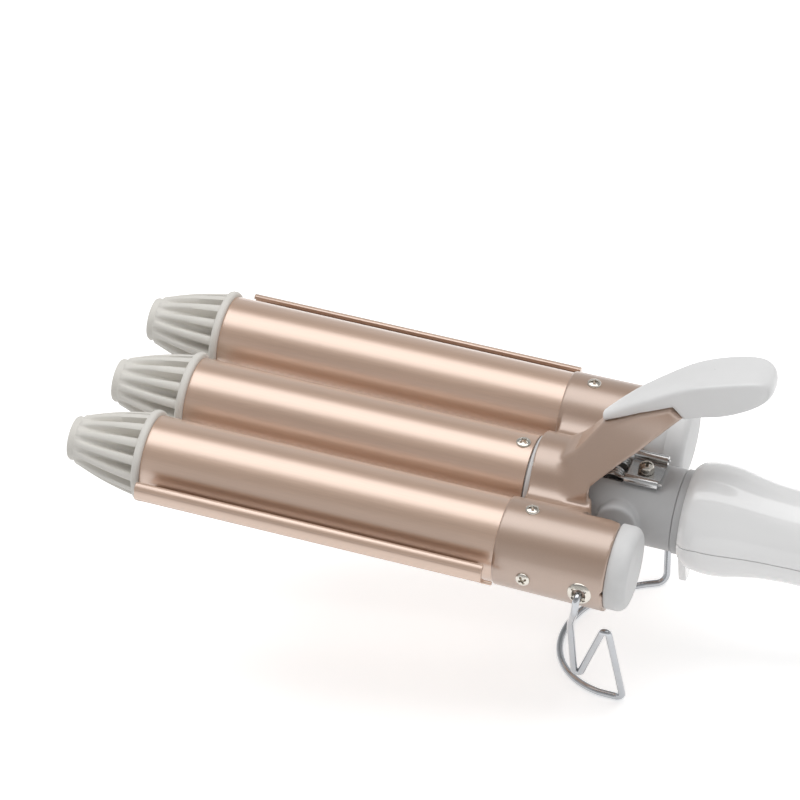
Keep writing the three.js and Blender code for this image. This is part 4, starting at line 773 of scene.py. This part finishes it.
def flowing(points, steps=6):
    """A smooth line through points."""
    given = [np.array(point, dtype=float) for point in points]
    padded = [given[0], *given, given[-1]]
    line = []
    for last, start, end, following in zip(padded, padded[1:], padded[2:], padded[3:]):
        for step in range(steps):
            t = step / steps
            line.append(0.5 * (
                2 * start + (end - last) * t
                + (2 * last - 5 * start + 4 * end - following) * t ** 2
                + (3 * start - last - 3 * end + following) * t ** 3
            ))
    return [*line, given[-1]]


pad_seam = [(px - 0.1, pz + 0.2) for px, pz in ARM_SEAM][::-1]
pad_heel = [(ARM_END[0] + 0.3, ARM_END[1] - 0.2), (39.9, 40.6)]
pad_side = [*flowing([*PAD_TOP, *PAD_REAR]), *pad_heel, *pad_seam]
pad_half = flowing(PAD_HALF_PLAN)
pad_plan = [*pad_half, *[np.array((px, -py)) for px, py in pad_half[-2:0:-1]]]


def pad_shape(x, y, z):
    """The paddle: its side view and its plan together, with the top dished by 0.9 mm."""
    plan = side_distance(pad_plan, x, y)
    dish = 0.9 * np.clip(-plan / 6, 0, 1) * np.clip((x - 24) / 14, 0, 1) * np.clip((66 - x) / 8, 0, 1)
    return shared(side_distance(pad_side, x, z + dish), plan, 1.5)


pad_solid = moulded(pad_shape, (17, -9, 26), (69, 9, 56), PAD_STEP)
piece("dished_thumb_pad", *pad_solid, white_gloss, "thumb_pad", sharp=60)


# Neck: satin grey plastic, flat on top for the spring, with a boss on each side for the pivot pin.
# A grey collar closes the step to the handle, and a white carrier holds the middle barrel.

NECK_RADIUS = 12.26
NECK_FRONT = 3.6
NECK_REAR = 44.1
NECK_TOP = 9.7
COLLAR_RADIUS = 12.63
BOSS_RADIUS = 6.4
BOSS_REACH = 14.3
NECK_RAMP = 0.44
WINDOW_HALF = 5.6
CARRIER_RADIUS = 13.2

neck_grey = Finish("satin grey moulding", (0.75, 0.75, 0.752), Specular_IOR_Level=0.4)
neck_clouds = neck_grey.noise(150, 3)
neck_grey.set(
    Base_Color=neck_grey.shades(neck_clouds, 0.94, 1.05),
    Roughness=0.36 + 0.14 * neck_clouds,
    Normal=neck_grey.bump(neck_grey.noise(1500), 0.15, 0.00005),
)


def neck_shape(x, y, z):
    """The housing: a round neck with a flat that ramps up at its rear, two bosses and the spring's window."""
    round_part = shared(np.hypot(y, z + MIDDLE_DROP) - NECK_RADIUS, between(x, NECK_FRONT, NECK_REAR), 0.3)
    body = shared(round_part, z - NECK_TOP - NECK_RAMP * np.clip(x - 38.5, 0, 6), 0.8)
    boss = shared(np.hypot(x - PIVOT_X, z) - BOSS_RADIUS, np.abs(y) - BOSS_REACH, 1.4)
    body = joined(body, boss, 0.5)
    window = np.maximum(np.maximum(between(x, 20.8, 27.2), np.abs(y) - WINDOW_HALF), 3.7 - z)
    return shared(body, -window, 0.4)


neck_solid = moulded(neck_shape, (3, -16, -14), (44, 16, 11), 0.5)
piece("neck_moulding", *neck_solid, neck_grey, "neck_housing", sharp=60)

collar_section = eased([(44.2, 9), (44.2, COLLAR_RADIUS), (46.4, COLLAR_RADIUS), (46.4, 9)], [0, 0.3, 0.3, 0])
piece("neck_ring", *turned(collar_section, 0, -MIDDLE_DROP), neck_grey, "neck_collar")

carrier_section = [(-15, 0.01), (-15, 11), (MIDDLE_REAR + 0.5, 11), (MIDDLE_REAR + 0.5, CARRIER_RADIUS - 0.5)]
carrier_section += [(MIDDLE_REAR + 0.8, CARRIER_RADIUS - 0.2), (3.3, CARRIER_RADIUS - 0.2), (3.3, 0.01)]
piece("middle_barrel_carrier", *turned(carrier_section, 0, -MIDDLE_DROP), cap_white, "middle_carrier")


# Handle: two glossy white half shells that meet along a dipping seam, screwed together from below.
# The front swells to a bulb round the neck and carries the prong, and the rear end is cut flat for the table.

HANDLE_START = 46.5
HANDLE_END = HANDLE_START + 200
HANDLE_WALL = 3
HANDLE_AXIS = -0.5
HANDLE_SWELL = 0.25
HANDLE_PROFILE = [
    (0, 13.3), (0.5, 13.9), (1.4, 14.7), (2.8, 15.5), (5.6, 16.15), (9, 16.4),
    (14, 16), (21, 14.55), (29, 13.65), (42, 13.6), (80, 15.6), (120, 17),
    (150, 16.7), (172, 16), (186, 13.9), (194, 11.9), (198, 10.4), (200, 8.4),
]
SEAM_LINE = [
    (41, -2.6), (48, -2.3), (52.8, -1.15), (61, -0.95), (67, -1.35), (75, -1.7),
    (90, -1.6), (110, -0.9), (252, -0.8),
]
SEAM_HALF_GAP = 0.14
SEAM_EDGE = 0.16
LEAST_BORE = 8.8
FRONT_BORE = 10.8
FRONT_BORE_DEPTH = 8
REAR_BORE = 6.3
REAR_WALL = 3
CONTROL_FLAT = 12.2
FASCIA_START = 104
FASCIA_END = 157.8
HANDLE_SCREW_X = (HANDLE_START + 34, HANDLE_END - 42)
HANDLE_SCREW_SEAT = -9
HANDLE_WELL_RADIUS = 2.45
PRONG_HALF = [(8, -10.5), (2.2, -24.4), (1.3, -25.1)]

handle_white = Finish(
    "handle's white gloss", (0.965, 0.965, 0.965), Coat_Weight=1.0, Coat_Roughness=0.03, Coat_IOR=1.62
)
handle_clouds = handle_white.noise(60, 3)
handle_white.set(
    Base_Color=handle_white.shades(handle_clouds, 0.99, 1.0),
    Roughness=0.4 + 0.06 * handle_clouds,
)


def along_line(line, x):
    """Height of a bent line at X."""
    return float(np.interp(x, [p[0] for p in line], [p[1] for p in line]))


handle_curve = [(float(d), float(r)) for d, r in flowing(HANDLE_PROFILE, 4)]


def handle_shell(way):
    """Upper (way 1) or lower (way -1) half shell, a ring of points at each station along it."""
    places = {HANDLE_START + d for d, _ in handle_curve}
    if way > 0:
        places |= {FASCIA_START - 0.9, FASCIA_START - 0.3, FASCIA_END + 0.3, FASCIA_END + 0.9}
    places = sorted(places)
    turns = 40
    points = []
    for x in places:
        radius = along_line(handle_curve, x - HANDLE_START) + HANDLE_SWELL
        inner = max(radius - HANDLE_WALL, LEAST_BORE)
        if x <= HANDLE_START + FRONT_BORE_DEPTH:
            inner = FRONT_BORE
        if x > HANDLE_END - REAR_WALL:
            inner = REAR_BORE
        seam = along_line(SEAM_LINE, x) - HANDLE_AXIS + way * SEAM_HALF_GAP
        ring = []
        for reach, steps in ((radius, range(turns + 1)), (inner, range(turns, -1, -1))):
            start = asin(seam / reach)
            sweep = pi - 2 * start if way > 0 else -(pi + 2 * start)
            for turn in steps:
                angle = start + sweep * turn / turns
                drawn_in = SEAM_EDGE if reach == radius and turn in (0, turns) else 0
                ring.append(((reach - drawn_in) * cos(angle), (reach - drawn_in) * sin(angle) + HANDLE_AXIS))
        levelled = way > 0 and FASCIA_START - 0.6 < x < FASCIA_END + 0.6
        for place, (y, z) in enumerate(ring):
            top = CONTROL_FLAT if place <= turns else CONTROL_FLAT - 2
            points.append((x, y, min(z, top) if levelled else z))
    count = len(points) // len(places)
    ends = [list(range(count)), list(range(len(points) - count, len(points)))]
    return points, ends + ring_faces(count, len(places))


def box(x, y, z):
    """Points and faces of a block between pairs of planes."""
    points = [(a, b, c) for a in x for b in y for c in z]
    return points, [(0, 1, 3, 2), (4, 6, 7, 5), (0, 4, 5, 1), (2, 3, 7, 6), (0, 2, 6, 4), (1, 5, 7, 3)]


def pin(centre, radius, low, high, sides=40):
    """Points and faces of an upright round pin."""
    points = []
    for height in (low, high):
        for side in range(sides):
            angle = 2 * pi * side / sides
            points.append((centre[0] + radius * cos(angle), centre[1] + radius * sin(angle), height))
    return capped(points, sides)


def cut_away(made, *parts, sharp=30):
    """Takes solids out of a piece."""
    for points, faces in parts:
        cutter = bpy.data.objects.new("cutter", level_mesh("cutter", points, faces))
        bpy.context.scene.collection.objects.link(cutter)
        cutting = made.modifiers.new("cut", "BOOLEAN")
        cutting.operation = "DIFFERENCE"
        cutting.solver = "EXACT"
        cutting.object = cutter
        ready = made.evaluated_get(bpy.context.evaluated_depsgraph_get())
        made.data = bpy.data.meshes.new_from_object(ready)
        made.modifiers.clear()
        bpy.data.objects.remove(cutter)
    smooth(made.data, sharp)


upper_shell = piece("handle_top_half", *handle_shell(1), handle_white, "handle_upper_shell")
lower_shell = piece("handle_bottom_half", *handle_shell(-1), handle_white, "handle_lower_shell")
prong_outline = [(-y, z) for y, z in PRONG_HALF] + PRONG_HALF[::-1]
prong = strip(prong_outline, HANDLE_START - 0.3, HANDLE_START + 1.9, 0.4)
piece("handle_prong", *prong, handle_white, "handle_lower_shell")
below_floor = box((0, 0.3), (-0.04, 0.04), (-0.04, 0))
floor_in_tool = level_to_table.inverted()
under_table = ([floor_in_tool @ Vector(point) for point in below_floor[0]], below_floor[1])
screw_wells = [pin((x, 0), HANDLE_WELL_RADIUS, -30, HANDLE_SCREW_SEAT) for x in HANDLE_SCREW_X]
cut_away(lower_shell, under_table, *screw_wells)


# Controls, out of the photograph's frame: a dark gloss fascia in a flat on the handle's top.
# It carries a display window, an amber lamp and three round keys, each free to go down 0.9 mm.

FASCIA_HALF = 5.5
FASCIA_LOW = CONTROL_FLAT + 0.15
FASCIA_HIGH = CONTROL_FLAT + 1.9
KEY_RADIUS = 2.9
KEY_TOP = FASCIA_HIGH + 1.2
KEYS = {"temp_down_button": 130.9, "temp_up_button": 140.9, "power_button": 150.9}
DISPLAY = (108, 121)
LAMP_X = 124.5

dark_gloss = Finish("dark gloss", (0.13, 0.135, 0.145), Coat_Weight=0.6, Coat_Roughness=0.06)
dark_gloss.set(Roughness=0.2 + 0.12 * dark_gloss.noise(300))
glass = Finish("display glass", (0.05, 0.06, 0.075), Coat_Weight=1.0, Coat_Roughness=0.03)
glass.set(Roughness=0.08 + 0.06 * glass.noise(200))
amber = Finish("amber lens", (0.93, 0.62, 0.25), Roughness=0.15, Transmission_Weight=0.35)
amber.set(Base_Color=amber.shades(amber.noise(1500), 0.9, 1.08))

FASCIA_LAYERS = [(FASCIA_LOW, 0.15), (FASCIA_LOW + 0.15, 0), (FASCIA_HIGH - 0.35, 0)]
FASCIA_LAYERS += [(FASCIA_HIGH - 0.1, 0.12), (FASCIA_HIGH, 0.4)]
fascia_middle = (FASCIA_START + FASCIA_END) / 2
fascia_length = (FASCIA_END - FASCIA_START) / 2


def block_plan(x, y, radius, steps):
    """An oblong between pairs of planes, its corners rounded."""
    return eased([(x[0], y[0]), (x[1], y[0]), (x[1], y[1]), (x[0], y[1])], radius, steps)


fascia_plan = block_plan((FASCIA_START, FASCIA_END), (-FASCIA_HALF, FASCIA_HALF), 2.2, 6)
fascia_points = []
for height, inset in FASCIA_LAYERS:
    for x, y in fascia_plan:
        drawn_x = fascia_middle + (x - fascia_middle) * (1 - inset / fascia_length)
        fascia_points.append((drawn_x, y * (1 - inset / FASCIA_HALF), height))
fascia_solid = capped(fascia_points, len(fascia_plan))
fascia = piece("fascia_plate", *fascia_solid, dark_gloss, "control_fascia", sharp=40)
key_holes = [pin((x, 0), KEY_RADIUS + 0.25, 0, 30) for x in KEYS.values()]
pocket = box((DISPLAY[0] - 0.2, DISPLAY[1] + 0.2), (-3.7, 3.7), (FASCIA_HIGH - 0.9, 30))
lens_hole = pin((LAMP_X, 0), 1.25, FASCIA_HIGH - 0.95, 30)
cut_away(fascia, *key_holes, pocket, lens_hole, sharp=40)
cut_away(upper_shell, *[pin((x, 0), 1.8, 5, 30) for x in KEYS.values()])


def round_block(x, y, z, edge):
    """A block with eased upright corners and a slightly drawn-in top."""
    plan = block_plan(x, y, 0.7, 3)
    middle = Vector(((x[0] + x[1]) / 2, (y[0] + y[1]) / 2))
    points = []
    for height, inset in ((z[0], 0), (z[1] - edge, 0), (z[1], edge)):
        for spot in plan:
            drawn = Vector(spot) + (middle - Vector(spot)).normalized() * inset
            points.append((drawn.x, drawn.y, height))
    return capped(points, len(plan))


display = round_block(DISPLAY, (-3.5, 3.5), (FASCIA_HIGH - 0.85, FASCIA_HIGH - 0.05), 0.1)
piece("display_glass", *display, glass, "display_window")


def upright(section, centre, sides=48):
    """Points and faces of a closed outline (radius, Z) turned about an upright line."""
    points, faces = turned([(z, radius) for radius, z in section], 0, 0, sides)
    return [(centre[0] + b, centre[1] + c, a) for a, b, c in points], faces


lamp_section = [(0.01, -0.85), (1.1, -0.85), (1.1, -0.1), (0.8, 0.12), (0.01, 0.2)]
lamp_section = [(radius, FASCIA_HIGH + height) for radius, height in lamp_section]
piece("lamp_lens", *upright(lamp_section, (LAMP_X, 0)), amber, "indicator_lamp")

for name, x in KEYS.items():
    key = [(0.01, 6.3), (1.5, 6.3), (1.5, 13.6), (KEY_RADIUS, 13.6), (KEY_RADIUS, KEY_TOP - 0.45)]
    key += [(KEY_RADIUS - 0.12, KEY_TOP - 0.15), (KEY_RADIUS - 0.45, KEY_TOP)]
    key += [(1.6, KEY_TOP - 0.12), (0.01, KEY_TOP - 0.2)]
    piece(name.replace("button", "key"), *upright(key, (x, 0)), white_gloss, name)


# Cord gland: a white plastic sleeve with a flange inside the handle and a tapering nose outside.
# It turns in the handle's rear wall round the lead's bore.

gland_section = eased([
    (241, 2.7), (241, 8.4), (243, 8.4), (243, 6), (246.8, 6), (247.1, 7), (249.5, 7),
    (252, 6.4), (257.5, 5), (258.5, 4), (258.5, 2.7),
], 0.3, 2)
piece("cord_gland", *turned(gland_section, 0, -MIDDLE_DROP, 64), white_gloss, "swivel_gland", sharp=40)


# Screws and eyelet nuts: nickel-plated pan heads with a cross recess, and flared nuts on the sleeves' flanks.
# The nuts hold the ends of the stand.

SCREW_RADIUS = 2.15
SCREW_HEIGHT = 1.4
FLANK = BARREL_SPACING + SLEEVE_RADIUS
EYELET_PLACE = (26.4, -1.9)

nickel = Finish("nickel plate", (0.85, 0.83, 0.795), Metallic=1.0)
nickel_marks = nickel.noise(1500, 3)
nickel.set(
    Base_Color=nickel.shades(nickel_marks, 0.88, 1.05),
    Roughness=0.14 + 0.14 * nickel_marks,
)


def screw_head(x, y, z):
    """A pan head with its seat at Z 0."""
    across = np.hypot(x, y)
    dome = np.sqrt(across ** 2 + (z + 2.6) ** 2) - (SCREW_HEIGHT + 2.6)
    head = shared(np.maximum(across - SCREW_RADIUS, -z), dome, 0.35)
    reach = 1.45 - 0.5 * np.clip(SCREW_HEIGHT - z, 0, 2)
    width = 0.34 - 0.08 * np.clip(SCREW_HEIGHT - z, 0, 2)
    slot_one = np.maximum(np.abs(x) - reach, np.abs(y) - width)
    slot_two = np.maximum(np.abs(y) - reach, np.abs(x) - width)
    recess = np.maximum(np.minimum(slot_one, slot_two), 0.25 - z)
    return shared(head, -recess, 0.12)


screw_points, screw_faces = moulded(screw_head, (-2.2, -2.2, 0), (2.2, 2.2, 1.5), 0.14)


def placed(points, place, lean=(0, 0), turn=0):
    """Points turned about Z, leaned by angles about X and Y, and set at a place."""
    how = Matrix.Translation(place) @ Matrix.Rotation(lean[1], 4, "Y") @ Matrix.Rotation(lean[0], 4, "X")
    how = how @ Matrix.Rotation(turn, 4, "Z")
    return [tuple(how @ Vector(point)) for point in points]


def screw_piece(name, node, place, lean=(0, 0), turn=0.3, stretch=(1, 1, 1)):
    """A screw: the shared head and a shank, stretched before it is turned and set."""
    shank = pin((0, 0), 1.2, -3, 0.2, 24)
    points, faces = together((screw_points, screw_faces), shank)
    points = [tuple(a * b for a, b in zip(point, stretch)) for point in points]
    piece(name, placed(points, place, lean, turn), faces, nickel, node, sharp=50)


for name, side in SIDES.items():
    top = (7.7, side * BARREL_SPACING, SLEEVE_RADIUS - 0.25)
    screw_piece(name + "_top_screw", name + "_sleeve_screw", top)
    flank = (9.6, side * (FLANK - 0.25), -1.7)
    screw_piece(name + "_flank_screw", name + "_side_screw", flank, (-side * pi / 2, 0), 0.5)
flat_head = (1.05, 1.05, 0.85)
tall_head = (1.1, 1.1, 2.3)
screw_piece("carrier_screw", "middle_screw", (-4.3, -0.9, 11.3), (0.05, 0), 0.9, flat_head)
screw_piece("plate_screw", "spring_plate_screw", (32.8, 0, 10.9), turn=0.2, stretch=tall_head)
for number, x in enumerate(HANDLE_SCREW_X, 1):
    screw_piece(f"shell_screw_{number}", f"handle_screw_{number}", (x, 0, HANDLE_SCREW_SEAT - 0.1), (pi, 0))


def nut(x, y, z):
    """A flared nut with its seat at Z 0, its bore countersunk and four notches in the flare."""
    across = np.hypot(x, y)
    dome = np.sqrt(across ** 2 + (z + 4.2) ** 2) - 6.0
    head = shared(np.maximum(across - 3.75, -z), dome, 0.7)
    flare = across - 1.5 - 0.55 * np.clip(z - 0.3, 0, 1.7)
    notch = np.maximum(np.minimum(np.abs(x), np.abs(y)) - 0.45, np.maximum(across - 2.7, 0.6 - z))
    return shared(head, -np.minimum(flare, notch), 0.15)


nut_points, nut_faces = moulded(nut, (-3.8, -3.8, 0), (3.8, 3.8, 2), 0.17)
for name, side in SIDES.items():
    seat = (EYELET_PLACE[0], side * (FLANK - 0.1), EYELET_PLACE[1])
    spots = placed(nut_points, seat, (-side * pi / 2, 0), pi / 4)
    piece(name + "_flared_nut", spots, nut_faces, nickel, name + "_eyelet_nut", sharp=50)


# Stand: one bright chromed wire from eyelet to eyelet, kinked at each side, with a flat bow for a foot.
# Its two sides aren't bent quite alike, and both ends turn into the nuts, where the wire can swing.

WIRE_RADIUS = 1.07
FOOT_CORNER = Vector((37.7, 28.3, -51.93))
FOOT_APEX = 12.4
ELBOW_REACH = FLANK + WIRE_RADIUS + 2
LEG_TOP_REACH = FLANK + 2.05
SHIN = (23.6, -17.6)
VALLEY_Z = -49.5
PEAK_Z = -13.3
BOW_STEPS = 48
BOW_JOIN = 4

chrome = Finish("chromed wire", (0.74, 0.75, 0.765), Metallic=1.0)
chrome_marks = chrome.noise(700, 2)
chrome.set(Base_Color=chrome.shades(chrome_marks, 0.93, 1.03), Roughness=0.07 + 0.07 * chrome_marks)


def swept(path, radius, sides=16):
    """Points and faces of a round wire along a path of points."""
    spots = [Vector(spot) for spot in path]
    apart = [(spot - last).length > 0.02 for last, spot in zip(spots, spots[1:])]
    spots = [spot for spot, kept in zip(spots, [True, *apart]) if kept]
    points = []
    side = None
    for place, spot in enumerate(spots):
        ahead = spots[min(place + 1, len(spots) - 1)]
        behind = spots[max(place - 1, 0)]
        along = (ahead - behind).normalized()
        side = side or along.orthogonal()
        side = (side - along * side.dot(along)).normalized()
        other = along.cross(side)
        for step in range(sides):
            angle = 2 * pi * step / sides
            points.append(tuple(spot + radius * (side * cos(angle) + other * sin(angle))))
    return capped(points, sides)


def bend(before, corner_spot, after, reach, steps=10):
    """Points of a round bend that starts and ends at a reach from a corner of the wire."""
    back = (before - corner_spot).normalized()
    ahead = (after - corner_spot).normalized()
    half = back.angle(ahead) / 2
    middle = corner_spot + (back + ahead).normalized() * reach / cos(half)
    first = corner_spot + back * reach - middle
    last = corner_spot + ahead * reach - middle
    turn = pi - 2 * half
    spots = []
    for step in range(steps + 1):
        done = turn * step / steps
        spots.append(middle + (first * sin(turn - done) + last * sin(done)) / sin(turn))
    return spots


def on_leg(x, z):
    """A place on the leaning plane of the near leg."""
    lean = (LEG_TOP_REACH - FOOT_CORNER.y) / (-FOOT_CORNER.z - 0.7)
    return Vector((x, -FOOT_CORNER.y - lean * (z - FOOT_CORNER.z), z))


def leg_path(valley_x, peak_x, foot_shift, after_foot):
    """One side of the wire, from its end in the eyelet nut to the start of the bow."""
    x, z = EYELET_PLACE
    end = Vector((x, 2.3 - FLANK, z))
    elbow = Vector((x, -ELBOW_REACH, z))
    below = Vector((x - 0.3, 0.3 - ELBOW_REACH, z - 5))
    shin = on_leg(*SHIN)
    valley = on_leg(valley_x, VALLEY_Z)
    peak = on_leg(peak_x, PEAK_Z)
    foot = Vector((FOOT_CORNER.x + foot_shift, -FOOT_CORNER.y, FOOT_CORNER.z))
    corners = [end, elbow, below, shin, valley, peak, foot, after_foot]
    reaches = [1.6, 2.5, 4, 8, 5.7, 3]
    leg = [end]
    for before, corner_spot, after, reach in zip(corners, corners[1:], corners[2:], reaches):
        leg += bend(before, corner_spot, after, reach)
    return leg


def stand_path():
    """The whole wire: near leg, bow on the table and the far leg back up."""
    depth = FOOT_CORNER.x - FOOT_APEX
    bow_radius = (FOOT_CORNER.y ** 2 + depth ** 2) / (2 * depth)
    half = acos((bow_radius - depth) / bow_radius)
    bow = []
    for step in range(BOW_STEPS + 1):
        angle = -half + 2 * half * step / BOW_STEPS
        bow_x = FOOT_APEX + bow_radius * (1 - cos(angle))
        fall = (FOOT_CORNER.x - bow_x) * tan(REST_PITCH)
        bow.append(Vector((bow_x, bow_radius * sin(angle), FOOT_CORNER.z - fall)))
    near_leg = leg_path(23.9, 34.6, 0.9, bow[BOW_JOIN])
    far_leg = [Vector((x, -y, z)) for x, y, z in leg_path(22.4, 31.2, -0.9, bow[BOW_JOIN])]
    return [*near_leg, *bow[BOW_JOIN:-BOW_JOIN], *reversed(far_leg)]


piece("bent_wire_stand", *swept(stand_path(), WIRE_RADIUS), chrome, "wire_stand", sharp=60)


# Spring and plate: a double torsion spring of round wire, its legs held under a bright steel plate
# whose two sides are rolled over them. One screw fixes the plate on the neck's flat.

PLATE_FRONT = 27.9
PLATE_REAR = 37.9
PLATE_SHEET = 0.8
ROLL_Y = 6.1
ROLL_Z = 11.5
ROLL_RADIUS = 1.1
ROLL_TURN = 320
COIL_X = 24.2
COIL_Z = 8.2
COIL_RADIUS = 2.9
COIL_TURNS = 3
TURN_STEPS = 16
COIL_PITCH = 1.1
COIL_START_Y = 4.95
SPRING_WIRE = 0.45


def rolled_sheet():
    """The plate's section: a flat strip with a roll at each side."""
    half = []
    for step in range(19):
        angle = radians(-90 + ROLL_TURN - ROLL_TURN * step / 18)
        half.append((ROLL_Y + ROLL_RADIUS * cos(angle), ROLL_Z + ROLL_RADIUS * sin(angle)))
    middle_line = [*[(-y, z) for y, z in half], *half[::-1]]
    over = []
    under = []
    for place, spot in enumerate(middle_line):
        ahead = Vector(middle_line[min(place + 1, len(middle_line) - 1)])
        behind = Vector(middle_line[max(place - 1, 0)])
        along = (ahead - behind).normalized()
        across = Vector((-along.y, along.x)) * PLATE_SHEET / 2
        over.append(tuple(Vector(spot) + across))
        under.append(tuple(Vector(spot) - across))
    return over + under[::-1]


steel = Finish("bright sheet steel", (0.80, 0.80, 0.80), Metallic=1.0)
rolling = steel.noise(900, 3, (0.1, 1, 1))
steel.set(
    Base_Color=steel.shades(rolling, 0.85, 1.05),
    Roughness=0.16 + 0.16 * rolling,
    Normal=steel.bump(rolling, 0.3, 0.00004),
)
plate = strip(rolled_sheet(), PLATE_FRONT, PLATE_REAR, 0.05)
piece("rolled_spring_plate", *plate, steel, "spring_plate", sharp=40)


def spring_path():
    """The wire's middle line: near leg, near coil, bow under the arm, and the same back on the far side."""
    half = [(PLATE_REAR + 1.3, -ROLL_Y, ROLL_Z), (33, -ROLL_Y, ROLL_Z), (PLATE_FRONT - 0.6, -ROLL_Y, ROLL_Z)]
    for step in range(COIL_TURNS * TURN_STEPS + 1):
        angle = 0.42 * pi + 2 * pi * step / TURN_STEPS
        y = -COIL_START_Y + COIL_PITCH * step / TURN_STEPS
        half.append((COIL_X + COIL_RADIUS * cos(angle), y, COIL_Z + COIL_RADIUS * sin(angle)))
    bow = (15.1, -1.1, 15.2)
    last = half[-1]
    half += [tuple((a + b) / 2 for a, b in zip(last, bow)), bow]
    far_half = [(x, -y, z) for x, y, z in reversed(half)]
    far_half[-1] = (PLATE_REAR + 0.4, ROLL_Y, ROLL_Z)
    return flowing(half + far_half, 4)


piece("double_torsion_spring", *swept(spring_path(), SPRING_WIRE, 10), steel, "torsion_spring", sharp=60)


# Inside pieces keep their solids: heaters, the pivot pin, the control board with its transformer,
# and the brass rings that feed the turning lead.

aluminium = Finish("mill aluminium", (0.78, 0.785, 0.79), Metallic=1.0)
aluminium.set(Roughness=0.35 + 0.15 * aluminium.noise(600, 3, (0.1, 1, 1)))
board_green = Finish("board laminate", (0.16, 0.40, 0.26))
board_green.set(
    Base_Color=board_green.shades(board_green.noise(900), 0.85, 1.1),
    Roughness=0.4 + 0.1 * board_green.noise(400),
)
laminations = Finish("core laminations", (0.42, 0.43, 0.45), Metallic=0.7)
laminations.set(Roughness=0.35 + 0.2 * laminations.noise(1200, 2, (0.05, 1, 1)))
brass = Finish("ring brass", (0.80, 0.66, 0.38), Metallic=1.0)
brass.set(Base_Color=brass.shades(brass.noise(900), 0.9, 1.06), Roughness=0.2 + 0.12 * brass.noise(500))
for node, finish in {
    "near_heater": aluminium,
    "far_heater": aluminium,
    "middle_heater": aluminium,
    "pivot_pin": steel,
    "control_board": board_green,
    "supply_transformer": laminations,
    "slip_ring_drum": brass,
}.items():
    frame["nodes"][node].material_slots[0].material = finish.material
